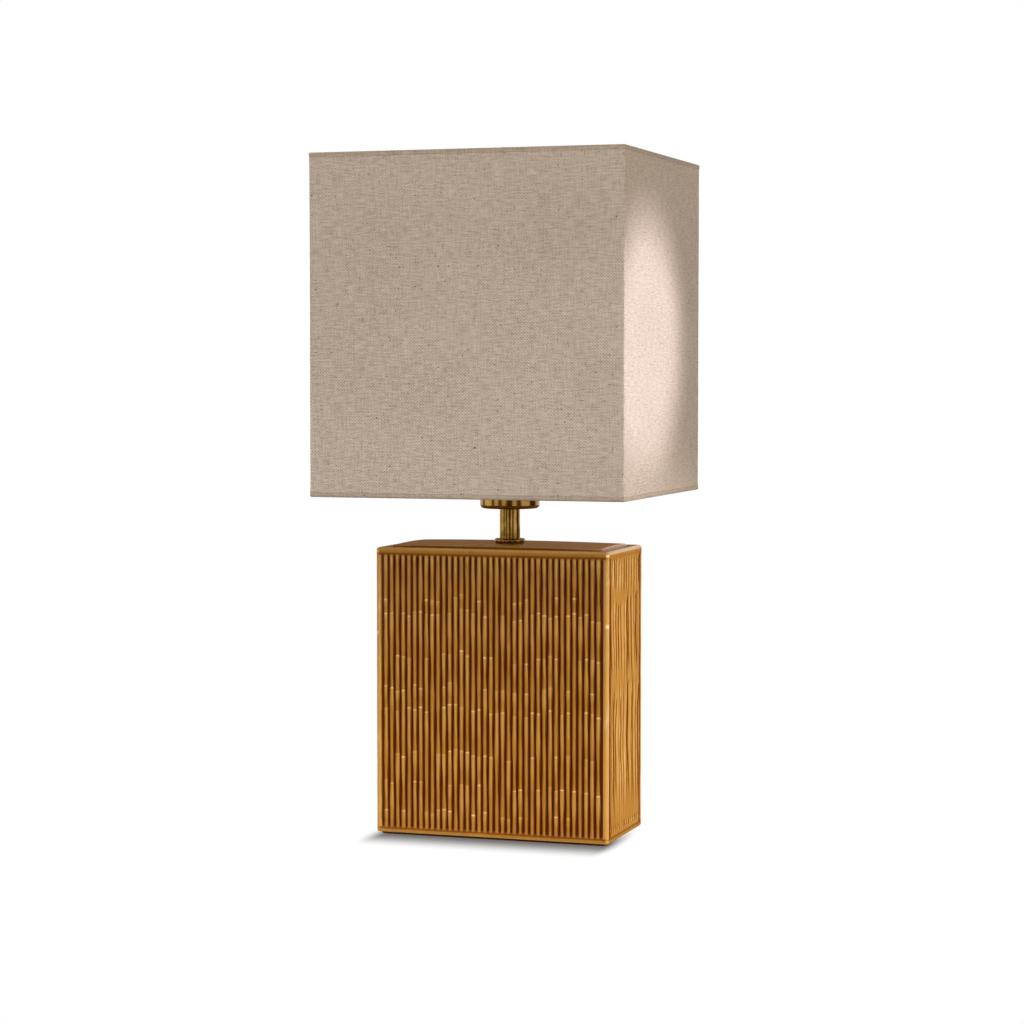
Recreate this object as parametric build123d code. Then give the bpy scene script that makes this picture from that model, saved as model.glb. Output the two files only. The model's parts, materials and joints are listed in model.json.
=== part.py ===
from build123d import *
import math
import os

# Column table lamp, in millimetres, +Z up. The origin is the centre of the underside, on the
# lamp's vertical axis. The front face looks along -Y, and the cord leaves at the back, along +Y.

# ---- Driving dimensions --------------------------------------------------------------------

# Ceramic block
BASE_WIDTH = 167.0
BASE_DEPTH = 83.0
RIM_HEIGHT = 198.5  # floor to the rim of the block
FELT_THICKNESS = 1.2
FELT_INSET = 2.5  # felt edge inside the block's edge
CORNER_BEAD_RADIUS = 1.9  # round rod up each vertical corner
RIB_COUNT_FRONT = 37
RIB_DEPTH = 1.4  # crest of a front rib over its groove
FLUTE_COUNT_SIDE = 17
FLUTE_DEPTH = 0.8  # carved flutes on the sides
TOP_BAND = 4.5  # plain band over the ribs
BOTTOM_BAND = 5.0  # plain band under the ribs
BAND_CORNER_RADIUS = 2.4
RIM_EDGE_RADIUS = 1.8
FOOT_EDGE_BEVEL = 1.0
PANEL_RISE = 2.5  # middle of the raised panel over the rim
PANEL_END_DROP = 0.8  # crowned panel: its left and right ends under its middle
PANEL_SIDE_DROP = 0.7  # and its front and back edges under its middle
PANEL_INSET = 8.5  # panel edge inside the block's edge
PANEL_CORNER_RADIUS = 2.0
PANEL_SIDE_DRAFT = 18.0  # lean of its sides, in degrees
CERAMIC_WALL = 6.0  # behind the grooves
CERAMIC_FLOOR = 7.0
CERAMIC_TOP = 9.0  # cavity ceiling to the top of the panel
CAVITY_CORNER_RADIUS = 6.0
FLOOR_HOLE_RADIUS = 25.0  # casting hole in the floor, covered by the felt
NIPPLE_HOLE_CLEARANCE = 0.5

# Cord bush in the rear wall
CORD_HOLE_HEIGHT = 20.0
CORD_HOLE_RADIUS = 5.9
CORD_BOSS_RADIUS = 11.0  # plain disc in the ribs round the hole
BUSH_CLEARANCE = 0.1
BUSH_FLANGE_RADIUS = 8.0
BUSH_FLANGE_THICKNESS = 1.8
BUSH_INNER_PROJECTION = 1.5
BUSH_BORE_RADIUS = 3.6

# Clamping parts in the cavity
PAD_LENGTH = 60.0
PAD_WIDTH = 26.0
PAD_THICKNESS = 2.0
BAR_LENGTH = 54.0
BAR_WIDTH = 20.0
BAR_THICKNESS = 2.5
BASE_NUT_FLATS = 17.0
BASE_NUT_THICKNESS = 4.0
NIPPLE_RADIUS = 5.0
NIPPLE_BORE_RADIUS = 3.75
NIPPLE_END = 2.0  # nipple past each nut
NIPPLE_FIT = 0.2  # radial gap of the pieces threaded on the nipple like beads

# Neck
SEAT_RING_RADIUS = 10.75
SEAT_RING_HEIGHT = 2.7
SEAT_RING_BEVEL = 0.9
NECK_RADIUS = 7.0
NECK_WALL = 1.4
NECK_LENGTH = 21.0

# Lampholder
CUP_RADIUS = 20.5
CUP_HEIGHT = 24.0
CUP_WALL = 1.0
CUP_FLOOR = 1.3
CUP_EDGE_RADIUS = 2.5
CUP_NUT_FLATS = 14.0
CUP_NUT_THICKNESS = 3.0
SLEEVE_SKIRT_HEIGHT = 4.0
SLEEVE_SPIGOT_HEIGHT = 5.0
SLEEVE_SPIGOT_CLEARANCE = 0.05
FLANGE_RADIUS = 25.0
FLANGE_THICKNESS = 2.0
THREAD_RADIUS = 19.7  # over the thread that the shade ring runs on
THREAD_LENGTH = 31.0
SLEEVE_BORE_RADIUS = 18.2
CORE_LENGTH = 26.0
CORE_WIDTH = 23.0
CORE_DECK = 14.0
CORE_LEG_HEIGHT = 10.0
CORE_LEG_THICKNESS = 3.0
CORE_EDGE_CHAMFER = 1.5
WELL_RADIUS = 4.6
WELL_DEPTH = 9.0
TERMINAL_LENGTH = 8.0
TERMINAL_WIDTH = 3.5
TERMINAL_HEIGHT = 7.0
TERMINAL_DROP = 3.0  # terminal top under the core's top
SHELL_BORE_RADIUS = 13.6
SHELL_WALL = 0.6
SHELL_HEIGHT = 26.0
SHELL_SEAT_THICKNESS = 0.8
SHELL_SEAT_RADIUS = 9.0

# Sprung centre contact
PLUNGER_HEAD_RADIUS = 4.2
PLUNGER_HEAD_THICKNESS = 1.4
PLUNGER_HEAD_RISE = 1.4  # underside of the head over the core's top at rest
PLUNGER_STEM_RADIUS = 2.0
PLUNGER_CLEARANCE = 0.05
CLIP_RADIUS = 3.4
CLIP_THICKNESS = 1.0
CLIP_GAP = 0.1
STEM_END = 0.6  # stem below the clip
SPRING_RADIUS = 3.9
SPRING_WIRE = 0.8

# Threaded shade ring
RING_CLEARANCE = 0.05
RING_FLANGE_RADIUS = 27.0
RING_FLANGE_THICKNESS = 2.0
RING_HUB_RADIUS = 23.0
RING_HEIGHT = 9.0
RING_GRIP_COUNT = 12
RING_GRIP_RADIUS = 2.0
RING_GRIP_DEPTH = 0.8

# Shade
SHADE_WIDTH = 220.0
SHADE_DEPTH = 190.0
SHADE_HEIGHT = 230.0
SHADE_DROP = 19.7  # fitter ring's underside over the shade's lower edge
COVER_THICKNESS = 0.7
COVER_CORNER_RADIUS = 1.2
COVER_EDGE_RADIUS = 1.0
LINING_THICKNESS = 0.8
LINING_FOLD_GAP = 0.1  # at each scored corner of the lining
FRAME_WIRE_RADIUS = 1.5
FITTER_CLEARANCE = 0.4
FITTER_RADIUS = 25.5
FITTER_THICKNESS = 2.0
ARM_RADIUS = 1.25
ARM_START_RISE = 0.3  # arm's axis over the fitter ring's underside
ARM_NOTCH_GAP = 0.3  # linen cut away round each arm

# Bulb
CAP_RADIUS = 13.2
CAP_WALL = 0.5
CAP_LENGTH = 21.0
CAP_INSULATOR_HEIGHT = 3.5
CAP_INSULATOR_RADIUS = 10.5
FOOT_RADIUS = 4.7
FOOT_HEIGHT = 1.5
FOOT_GAP = 0.15  # foot contact over the plunger's head
COLLAR_HEIGHT = 12.0
COLLAR_CLEARANCE = 0.2  # collar's foot over the cap's radius
DIFFUSER_RADIUS = 19.0
DIFFUSER_HEIGHT = 77.0
DIFFUSER_EDGE_RADIUS = 4.0

# ---- Places that follow from them ----------------------------------------------------------

HALF_WIDTH = BASE_WIDTH / 2
HALF_DEPTH = BASE_DEPTH / 2
FOOT_Z = FELT_THICKNESS
RIB_BOTTOM_Z = FOOT_Z + BOTTOM_BAND
RIB_TOP_Z = RIM_HEIGHT - TOP_BAND
BASE_TOP_Z = RIM_HEIGHT + PANEL_RISE
CEILING_Z = BASE_TOP_Z - CERAMIC_TOP
CAVITY_FLOOR_Z = FOOT_Z + CERAMIC_FLOOR
CAVITY_WIDTH = BASE_WIDTH - 2 * (RIB_DEPTH + CERAMIC_WALL)
CAVITY_DEPTH = BASE_DEPTH - 2 * (RIB_DEPTH + CERAMIC_WALL)
REAR_WALL = RIB_DEPTH + CERAMIC_WALL

BAR_TOP_Z = CEILING_Z - PAD_THICKNESS
BASE_NUT_TOP_Z = BAR_TOP_Z - BAR_THICKNESS
NIPPLE_BOTTOM_Z = BASE_NUT_TOP_Z - BASE_NUT_THICKNESS - NIPPLE_END

NECK_Z = BASE_TOP_Z + SEAT_RING_HEIGHT
CUP_Z = NECK_Z + NECK_LENGTH
CUP_FLOOR_Z = CUP_Z + CUP_FLOOR
CUP_TOP_Z = CUP_Z + CUP_HEIGHT
NIPPLE_TOP_Z = CUP_FLOOR_Z + CUP_NUT_THICKNESS + NIPPLE_END
FLANGE_Z = CUP_TOP_Z + SLEEVE_SKIRT_HEIGHT
FLANGE_TOP_Z = FLANGE_Z + FLANGE_THICKNESS
SLEEVE_TOP_Z = FLANGE_TOP_Z + THREAD_LENGTH

CORE_DECK_Z = CUP_FLOOR_Z + CORE_LEG_HEIGHT
CORE_TOP_Z = CORE_DECK_Z + CORE_DECK
WELL_FLOOR_Z = CORE_TOP_Z - WELL_DEPTH
HEAD_Z = CORE_TOP_Z + PLUNGER_HEAD_RISE
HEAD_TOP_Z = HEAD_Z + PLUNGER_HEAD_THICKNESS
CLIP_TOP_Z = CORE_DECK_Z - CLIP_GAP
CLIP_Z = CLIP_TOP_Z - CLIP_THICKNESS

FITTER_TOP_Z = FLANGE_TOP_Z + FITTER_THICKNESS
SHADE_Z = FLANGE_TOP_Z - SHADE_DROP
SHADE_TOP_Z = SHADE_Z + SHADE_HEIGHT
WIRE_INSET = COVER_THICKNESS + LINING_THICKNESS + FRAME_WIRE_RADIUS
WIRE_LIFT = COVER_THICKNESS + FRAME_WIRE_RADIUS
FOLD_INSET = WIRE_INSET + FRAME_WIRE_RADIUS
FOLD_HEIGHT = COVER_THICKNESS + 2 * FRAME_WIRE_RADIUS

FOOT_CONTACT_Z = HEAD_TOP_Z + FOOT_GAP
CAP_INSULATOR_Z = FOOT_CONTACT_Z + FOOT_HEIGHT
CAP_Z = CAP_INSULATOR_Z + CAP_INSULATOR_HEIGHT
COLLAR_Z = CAP_Z + CAP_LENGTH
DIFFUSER_Z = COLLAR_Z + COLLAR_HEIGHT

# Side, turn about the axis, and the shade's span that way, for each fitter arm
ARMS = (
    ("right", 0, SHADE_WIDTH),
    ("back", 90, SHADE_DEPTH),
    ("left", 180, SHADE_WIDTH),
    ("front", 270, SHADE_DEPTH),
)


# ---- Small helpers -------------------------------------------------------------------------


def disc(radius, bottom, top):
    """A solid cylinder on the lamp's axis."""
    return Pos(0, 0, bottom) * extrude(Circle(radius), top - bottom)


def tube(outer, inner, bottom, top):
    """A hollow cylinder on the lamp's axis."""
    return Pos(0, 0, bottom) * extrude(Circle(outer) - Circle(inner), top - bottom)


def block(width, depth, bottom, top, corner=0.0):
    """An upright box centred on the axis, with round vertical corners if a radius is given."""
    outline = RectangleRounded(width, depth, corner) if corner else Rectangle(width, depth)
    return Pos(0, 0, bottom) * extrude(outline, top - bottom)


def turned(points):
    """A solid of revolution about the axis from (radius, height) points."""
    outline = Polyline(*[(radius, 0, height) for radius, height in points], close=True)
    return revolve(make_face(outline), Axis.Z)


def edges_at(part, height):
    """The edges of a part that lie flat at one height."""
    return part.edges().filter_by_position(Axis.Z, height, height)


# ---- Ceramic base --------------------------------------------------------------------------


def bead_reach(depth):
    """How far from the corner a groove of this depth meets the round corner bead."""
    radius = CORNER_BEAD_RADIUS
    return radius + math.sqrt(radius**2 - (radius - depth) ** 2)


def scalloped_side(length, corner_near, corner_far, count, depth):
    """Groove bottoms and crests of one face, as (along, inward) points from end to end.

    The ribs share what the two corner beads leave. Each rib is an arc from groove to groove."""
    start = -length / 2 + corner_near
    pitch = (length - corner_near - corner_far) / count
    grooves = [(start + i * pitch, depth) for i in range(count + 1)]
    crests = [(start + (i + 0.5) * pitch, 0.0) for i in range(count)]
    return grooves, crests


def ribbed_outline():
    """The block's plan between its bands: ribs front and back, flutes at the sides, corner beads."""
    front_reach = bead_reach(RIB_DEPTH)
    side_reach = bead_reach(FLUTE_DEPTH)
    front = scalloped_side(BASE_WIDTH, front_reach, front_reach, RIB_COUNT_FRONT, RIB_DEPTH)
    side = scalloped_side(BASE_DEPTH, side_reach, side_reach, FLUTE_COUNT_SIDE, FLUTE_DEPTH)
    faces = [
        (front, lambda along, inward: (along, -HALF_DEPTH + inward)),
        (side, lambda along, inward: (HALF_WIDTH - inward, along)),
        (front, lambda along, inward: (-along, HALF_DEPTH - inward)),
        (side, lambda along, inward: (-HALF_WIDTH + inward, -along)),
    ]
    corners = [(1, -1), (1, 1), (-1, 1), (-1, -1)]
    arcs = []
    for index, ((grooves, crests), place) in enumerate(faces):
        for i, crest in enumerate(crests):
            arcs.append(ThreePointArc(place(*grooves[i]), place(*crest), place(*grooves[i + 1])))
        (next_grooves, _), next_place = faces[(index + 1) % len(faces)]
        sign_x, sign_y = corners[index]
        middle = CORNER_BEAD_RADIUS * (1 - math.sqrt(0.5))
        tip = (sign_x * (HALF_WIDTH - middle), sign_y * (HALF_DEPTH - middle))
        arcs.append(ThreePointArc(place(*grooves[-1]), tip, next_place(*next_grooves[0])))
    return make_face(Wire(arcs))


def arc_radius(half_span, drop):
    """Radius of an arc that falls by the drop at half its span from the middle."""
    return (half_span**2 + drop**2) / (2 * drop)


def raised_panel():
    """Panel on top of the block, its top crowned both ways like a very flat barrel."""
    half_width = HALF_WIDTH - PANEL_INSET
    half_depth = HALF_DEPTH - PANEL_INSET
    edge = BASE_TOP_Z - PANEL_SIDE_DROP
    low = RIM_HEIGHT - PANEL_RISE
    arch = ThreePointArc((-half_depth, edge), (0, BASE_TOP_Z), (half_depth, edge))
    legs = Polyline((half_depth, edge), (half_depth, low), (-half_depth, low), (-half_depth, edge))
    bow = arc_radius(half_width, PANEL_END_DROP)
    swing = math.degrees(math.asin(half_width / bow)) * 2
    axis = Axis((0, 0, BASE_TOP_Z - bow), (0, 1, 0))
    profile = (Plane.YZ * make_face(Wire([arch] + legs.edges()))).rotate(axis, -swing)
    crown = revolve(profile, axis, 2 * swing)
    outline = RectangleRounded(2 * half_width, 2 * half_depth, PANEL_CORNER_RADIUS)
    slab = Pos(0, 0, RIM_HEIGHT) * extrude(outline, 2 * PANEL_RISE, taper=PANEL_SIDE_DRAFT)
    return slab & crown


def ceramic_base():
    """Hollow cast block: ribbed walls between two plain bands, and a raised panel on top."""
    walls = Pos(0, 0, RIB_BOTTOM_Z) * extrude(ribbed_outline(), RIB_TOP_Z - RIB_BOTTOM_Z)
    foot = block(BASE_WIDTH, BASE_DEPTH, FOOT_Z, RIB_BOTTOM_Z, BAND_CORNER_RADIUS)
    foot = chamfer(edges_at(foot, FOOT_Z), FOOT_EDGE_BEVEL)
    rim = block(BASE_WIDTH, BASE_DEPTH, RIB_TOP_Z, RIM_HEIGHT, BAND_CORNER_RADIUS)
    rim = fillet(edges_at(rim, RIM_HEIGHT), RIM_EDGE_RADIUS)
    boss_plane = Plane((0, HALF_DEPTH, CORD_HOLE_HEIGHT), z_dir=(0, -1, 0))
    boss = boss_plane * extrude(Circle(CORD_BOSS_RADIUS), REAR_WALL)
    cord_hole = boss_plane * extrude(Circle(CORD_HOLE_RADIUS), REAR_WALL)
    cavity = block(CAVITY_WIDTH, CAVITY_DEPTH, CAVITY_FLOOR_Z, CEILING_Z, CAVITY_CORNER_RADIUS)
    floor_hole = disc(FLOOR_HOLE_RADIUS, FOOT_Z, CAVITY_FLOOR_Z)
    nipple_hole = disc(NIPPLE_RADIUS + NIPPLE_HOLE_CLEARANCE, CEILING_Z, BASE_TOP_Z)
    return walls + foot + rim + raised_panel() + boss - cavity - floor_hole - nipple_hole - cord_hole


def base_felt():
    """Felt sheet glued over the whole foot; its underside is what the lamp stands on."""
    width = BASE_WIDTH - 2 * FELT_INSET
    depth = BASE_DEPTH - 2 * FELT_INSET
    return block(width, depth, 0, FELT_THICKNESS, BAND_CORNER_RADIUS)


def cord_bush():
    """Flanged plastic bush that lines the cord hole in the rear wall."""
    outward = Plane((0, HALF_DEPTH, CORD_HOLE_HEIGHT), z_dir=(0, 1, 0))
    inward = Plane((0, HALF_DEPTH, CORD_HOLE_HEIGHT), z_dir=(0, -1, 0))
    bore = Circle(BUSH_BORE_RADIUS)
    flange = outward * extrude(Circle(BUSH_FLANGE_RADIUS) - bore, BUSH_FLANGE_THICKNESS)
    barrel_outline = Circle(CORD_HOLE_RADIUS - BUSH_CLEARANCE) - bore
    barrel = inward * extrude(barrel_outline, REAR_WALL + BUSH_INNER_PROJECTION)
    return flange + barrel


# ---- Clamping parts and neck ---------------------------------------------------------------


def plate_on_nipple(length, width, bottom, top):
    """A flat plate with a hole for the nipple."""
    hole = disc(NIPPLE_RADIUS + NIPPLE_FIT, bottom, top)
    return block(length, width, bottom, top) - hole


def hexagon_nut(flats, bottom, top):
    """A hexagon nut on the nipple, its bore at the nipple's outside."""
    outline = RegularPolygon(flats / 2, 6, major_radius=False) - Circle(NIPPLE_RADIUS)
    return Pos(0, 0, bottom) * extrude(outline, top - bottom)


def seat_ring():
    """Rounded brass ring between the panel and the neck tube."""
    bore = NIPPLE_RADIUS + NIPPLE_FIT
    rim, bevel, foot = SEAT_RING_RADIUS, SEAT_RING_BEVEL, BASE_TOP_Z
    top = foot + SEAT_RING_HEIGHT
    profile = [
        (bore, foot),
        (rim - bevel, foot),
        (rim, foot + bevel),
        (rim, top - bevel),
        (rim - bevel, top),
        (bore, top),
    ]
    return turned(profile)


# ---- Lampholder ----------------------------------------------------------------------------


def holder_cup():
    """Drawn brass cup on top of the neck."""
    shell = disc(CUP_RADIUS, CUP_Z, CUP_TOP_Z)
    shell = fillet(edges_at(shell, CUP_Z), CUP_EDGE_RADIUS)
    hollow = disc(CUP_RADIUS - CUP_WALL, CUP_FLOOR_Z, CUP_TOP_Z)
    hole = disc(NIPPLE_RADIUS + NIPPLE_FIT, CUP_Z, CUP_FLOOR_Z)
    return shell - hollow - hole


def holder_sleeve():
    """Brass sleeve: a spigot inside the cup, the flange under the shade, the threaded length."""
    spigot = CUP_RADIUS - CUP_WALL - SLEEVE_SPIGOT_CLEARANCE
    profile = [
        (SLEEVE_BORE_RADIUS, CUP_TOP_Z - SLEEVE_SPIGOT_HEIGHT),
        (spigot, CUP_TOP_Z - SLEEVE_SPIGOT_HEIGHT),
        (spigot, CUP_TOP_Z),
        (CUP_RADIUS, CUP_TOP_Z),
        (CUP_RADIUS, FLANGE_Z),
        (FLANGE_RADIUS, FLANGE_Z),
        (FLANGE_RADIUS, FLANGE_TOP_Z),
        (THREAD_RADIUS, FLANGE_TOP_Z),
        (THREAD_RADIUS, SLEEVE_TOP_Z),
        (SLEEVE_BORE_RADIUS, SLEEVE_TOP_Z),
    ]
    return turned(profile)


def holder_core():
    """Porcelain core: a block on two legs, with a well for the sprung contact."""
    core = block(CORE_LENGTH, CORE_WIDTH, CUP_FLOOR_Z, CORE_TOP_Z)
    core = chamfer(core.edges().filter_by(Axis.Z), CORE_EDGE_CHAMFER)
    tunnel = block(CORE_LENGTH - 2 * CORE_LEG_THICKNESS, CORE_WIDTH, CUP_FLOOR_Z, CORE_DECK_Z)
    well = disc(WELL_RADIUS, WELL_FLOOR_Z, CORE_TOP_Z)
    guide = disc(PLUNGER_STEM_RADIUS + PLUNGER_CLEARANCE, CORE_DECK_Z, WELL_FLOOR_Z)
    return core - tunnel - well - guide


def terminal_clamps():
    """Two brass terminal blocks on the front and back of the core."""
    clamps = []
    for side in (-1, 1):
        middle = (
            0,
            side * (CORE_WIDTH + TERMINAL_WIDTH) / 2,
            CORE_TOP_Z - TERMINAL_DROP - TERMINAL_HEIGHT / 2,
        )
        clamps.append(Pos(*middle) * Box(TERMINAL_LENGTH, TERMINAL_WIDTH, TERMINAL_HEIGHT))
    return Compound(children=clamps)


def screw_shell():
    """Brass screw shell of the lampholder, on an inward seat on the core."""
    outer = SHELL_BORE_RADIUS + SHELL_WALL
    walls = tube(outer, SHELL_BORE_RADIUS, CORE_TOP_Z, CORE_TOP_Z + SHELL_HEIGHT)
    seat = tube(outer, SHELL_SEAT_RADIUS, CORE_TOP_Z, CORE_TOP_Z + SHELL_SEAT_THICKNESS)
    return walls + seat


def centre_contact():
    """Plunger with a flat head over the well and a stem through the core."""
    head = disc(PLUNGER_HEAD_RADIUS, HEAD_Z, HEAD_TOP_Z)
    stem = disc(PLUNGER_STEM_RADIUS, CLIP_Z - STEM_END, HEAD_Z)
    return head + stem


def contact_clip():
    """Round clip on the stem, under the core."""
    return tube(CLIP_RADIUS, PLUNGER_STEM_RADIUS, CLIP_Z, CLIP_TOP_Z)


def contact_spring():
    """Room of the coil spring between the well's floor and the plunger's head."""
    return tube(SPRING_RADIUS, SPRING_RADIUS - SPRING_WIRE, WELL_FLOOR_Z, HEAD_Z)


def shade_ring():
    """Threaded ring that clamps the fitter ring down, with grip notches round its flange."""
    bore = THREAD_RADIUS + RING_CLEARANCE
    flange = tube(
        RING_FLANGE_RADIUS, bore, FITTER_TOP_Z, FITTER_TOP_Z + RING_FLANGE_THICKNESS
    )
    hub = tube(RING_HUB_RADIUS, bore, FITTER_TOP_Z, FITTER_TOP_Z + RING_HEIGHT)
    reach = RING_FLANGE_RADIUS + RING_GRIP_RADIUS - RING_GRIP_DEPTH
    notch = Pos(reach, 0, FITTER_TOP_Z) * extrude(
        Circle(RING_GRIP_RADIUS), RING_FLANGE_THICKNESS
    )
    for index in range(RING_GRIP_COUNT):
        flange = flange - Rot(0, 0, index * 360 / RING_GRIP_COUNT) * notch
    return flange + hub


# ---- Shade ---------------------------------------------------------------------------------


def frame_wire(height):
    """Rectangular wire with mitred corners that stiffens one edge of the shade."""
    half_x = SHADE_WIDTH / 2 - WIRE_INSET
    half_y = SHADE_DEPTH / 2 - WIRE_INSET
    start = (0, -half_y, height)
    corners = [
        (half_x, -half_y, height),
        (half_x, half_y, height),
        (-half_x, half_y, height),
        (-half_x, -half_y, height),
    ]
    path = Polyline(start, *corners, start)
    section = Plane(start, z_dir=(1, 0, 0)) * Circle(FRAME_WIRE_RADIUS)
    return sweep(section, path, transition=Transition.RIGHT)


def fitter_ring():
    """Flat ring that sits on the lampholder's flange and carries the shade."""
    inner = THREAD_RADIUS + FITTER_CLEARANCE
    return tube(FITTER_RADIUS, inner, FLANGE_TOP_Z, FITTER_TOP_Z)


def arm_rod(angle, span, radius):
    """A straight rod from inside the fitter ring's edge down to the bottom frame wire's axis."""
    start = Vector(FITTER_RADIUS - ARM_RADIUS, 0, FLANGE_TOP_Z + ARM_START_RISE)
    end = Vector(span / 2 - WIRE_INSET, 0, SHADE_Z + WIRE_LIFT)
    run = end - start
    rod = Plane(start, z_dir=run) * extrude(Circle(radius), run.length)
    return Rot(0, 0, angle) * rod


def fitter_arm(angle, span, lower_wire):
    """One wire from the fitter ring down to the bottom frame wire, coped to both."""
    ring_side = disc(FITTER_RADIUS, SHADE_Z, FITTER_TOP_Z + ARM_RADIUS)
    return arm_rod(angle, span, ARM_RADIUS) - ring_side - lower_wire


def shade_lining():
    """Hard-back lining, scored and folded into four flat panels that meet at mitred corners."""
    bottom = SHADE_Z + COVER_THICKNESS
    height = SHADE_HEIGHT - 2 * COVER_THICKNESS
    panels = []
    for angle, width, depth in (
        (0, SHADE_WIDTH, SHADE_DEPTH),
        (90, SHADE_DEPTH, SHADE_WIDTH),
        (180, SHADE_WIDTH, SHADE_DEPTH),
        (270, SHADE_DEPTH, SHADE_WIDTH),
    ):
        outer_y = -(depth / 2 - COVER_THICKNESS)
        inner_y = outer_y + LINING_THICKNESS
        outer_x = width / 2 - COVER_THICKNESS - LINING_FOLD_GAP
        inner_x = outer_x - LINING_THICKNESS
        outline = Polygon(
            (-outer_x, outer_y), (outer_x, outer_y), (inner_x, inner_y), (-inner_x, inner_y),
            align=None,
        )
        panels.append(Rot(0, 0, angle) * Pos(0, 0, bottom) * extrude(outline, height))
    return Compound(children=panels)


def linen_cover():
    """Linen round the lining, its edges rolled under and up inside both frame wires.

    The lower roll is notched where each fitter arm passes."""
    cover = block(SHADE_WIDTH, SHADE_DEPTH, SHADE_Z, SHADE_TOP_Z, COVER_CORNER_RADIUS)
    cover = fillet(edges_at(cover, SHADE_Z) + edges_at(cover, SHADE_TOP_Z), COVER_EDGE_RADIUS)
    inside = block(
        SHADE_WIDTH - 2 * COVER_THICKNESS,
        SHADE_DEPTH - 2 * COVER_THICKNESS,
        SHADE_Z + COVER_THICKNESS,
        SHADE_TOP_Z - COVER_THICKNESS,
    )
    fold_x = SHADE_WIDTH - 2 * FOLD_INSET
    fold_y = SHADE_DEPTH - 2 * FOLD_INSET
    mouth_x = fold_x - 2 * COVER_THICKNESS
    mouth_y = fold_y - 2 * COVER_THICKNESS
    mouth = block(mouth_x, mouth_y, SHADE_Z, SHADE_TOP_Z)
    cover = cover - inside - mouth
    for low, high in (
        (SHADE_Z, SHADE_Z + FOLD_HEIGHT),
        (SHADE_TOP_Z - FOLD_HEIGHT, SHADE_TOP_Z),
    ):
        flap = block(fold_x, fold_y, low, high) - block(mouth_x, mouth_y, low, high)
        cover = cover + flap
    for _, angle, span in ARMS:
        cover = cover - arm_rod(angle, span, ARM_RADIUS + ARM_NOTCH_GAP)
    return cover


# ---- Bulb ----------------------------------------------------------------------------------


def bulb_foot():
    """Round contact at the tip of the bulb's cap."""
    return disc(FOOT_RADIUS, FOOT_CONTACT_Z, CAP_INSULATOR_Z)


def bulb_insulator():
    """Glass cone between the foot contact and the screw cap."""
    profile = [
        (0, CAP_INSULATOR_Z),
        (FOOT_RADIUS, CAP_INSULATOR_Z),
        (CAP_INSULATOR_RADIUS, CAP_Z),
        (0, CAP_Z),
    ]
    return turned(profile)


def bulb_cap():
    """Screw cap, a thin shell closed at the bottom round the insulator."""
    shell = disc(CAP_RADIUS, CAP_Z, COLLAR_Z)
    hollow = disc(CAP_RADIUS - CAP_WALL, CAP_Z + CAP_WALL, COLLAR_Z)
    return shell - hollow


def bulb_collar():
    """Plastic cone from the cap out to the diffuser."""
    profile = [
        (0, COLLAR_Z),
        (CAP_RADIUS + COLLAR_CLEARANCE, COLLAR_Z),
        (DIFFUSER_RADIUS, DIFFUSER_Z),
        (0, DIFFUSER_Z),
    ]
    return turned(profile)


def bulb_diffuser():
    """Opal stick-shaped diffuser with a rounded end."""
    top = DIFFUSER_Z + DIFFUSER_HEIGHT
    body = disc(DIFFUSER_RADIUS, DIFFUSER_Z, top)
    return fillet(edges_at(body, top), DIFFUSER_EDGE_RADIUS)


# ---- Assembly ------------------------------------------------------------------------------


def build_pieces():
    """Every piece of the lamp by node name."""
    bottom_wire = frame_wire(SHADE_Z + WIRE_LIFT)
    pieces = {
        "ceramic_base": ceramic_base(),
        "base_felt": base_felt(),
        "cord_bush": cord_bush(),
        "rubber_pad": plate_on_nipple(PAD_LENGTH, PAD_WIDTH, BAR_TOP_Z, CEILING_Z),
        "clamp_bar": plate_on_nipple(BAR_LENGTH, BAR_WIDTH, BASE_NUT_TOP_Z, BAR_TOP_Z),
        "base_nut": hexagon_nut(
            BASE_NUT_FLATS, BASE_NUT_TOP_Z - BASE_NUT_THICKNESS, BASE_NUT_TOP_Z
        ),
        "threaded_nipple": tube(
            NIPPLE_RADIUS, NIPPLE_BORE_RADIUS, NIPPLE_BOTTOM_Z, NIPPLE_TOP_Z
        ),
        "seat_ring": seat_ring(),
        "neck_tube": tube(NECK_RADIUS, NECK_RADIUS - NECK_WALL, NECK_Z, CUP_Z),
        "holder_cup": holder_cup(),
        "cup_nut": hexagon_nut(CUP_NUT_FLATS, CUP_FLOOR_Z, CUP_FLOOR_Z + CUP_NUT_THICKNESS),
        "holder_sleeve": holder_sleeve(),
        "holder_core": holder_core(),
        "terminal_clamps": terminal_clamps(),
        "screw_shell": screw_shell(),
        "centre_contact": centre_contact(),
        "contact_clip": contact_clip(),
        "contact_spring": contact_spring(),
        "shade_ring": shade_ring(),
        "fitter_ring": fitter_ring(),
        "bottom_frame_wire": bottom_wire,
        "top_frame_wire": frame_wire(SHADE_TOP_Z - WIRE_LIFT),
        "shade_lining": shade_lining(),
        "linen_cover": linen_cover(),
        "bulb_foot": bulb_foot(),
        "bulb_insulator": bulb_insulator(),
        "bulb_cap": bulb_cap(),
        "bulb_collar": bulb_collar(),
        "bulb_diffuser": bulb_diffuser(),
    }
    for side, angle, span in ARMS:
        pieces["fitter_arm_" + side] = fitter_arm(angle, span, bottom_wire)
    return pieces


os.makedirs("parts", exist_ok=True)
for name, piece in build_pieces().items():
    export_step(piece, "parts/" + name + ".step")
    print(name, "volume", round(piece.volume, 1))
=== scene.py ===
"""Column table lamp: ribbed, glazed stoneware base, polished brass neck and a linen shade.

Lengths in the classes are in millimetres and are turned to metres when a mesh is made. The frame
is the lamp's own: +Z up, -Y out of the ribbed front, origin at the middle of the felt's underside.
"""

import json
import logging
import math
from dataclasses import dataclass, field
from enum import Enum, IntEnum

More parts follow.
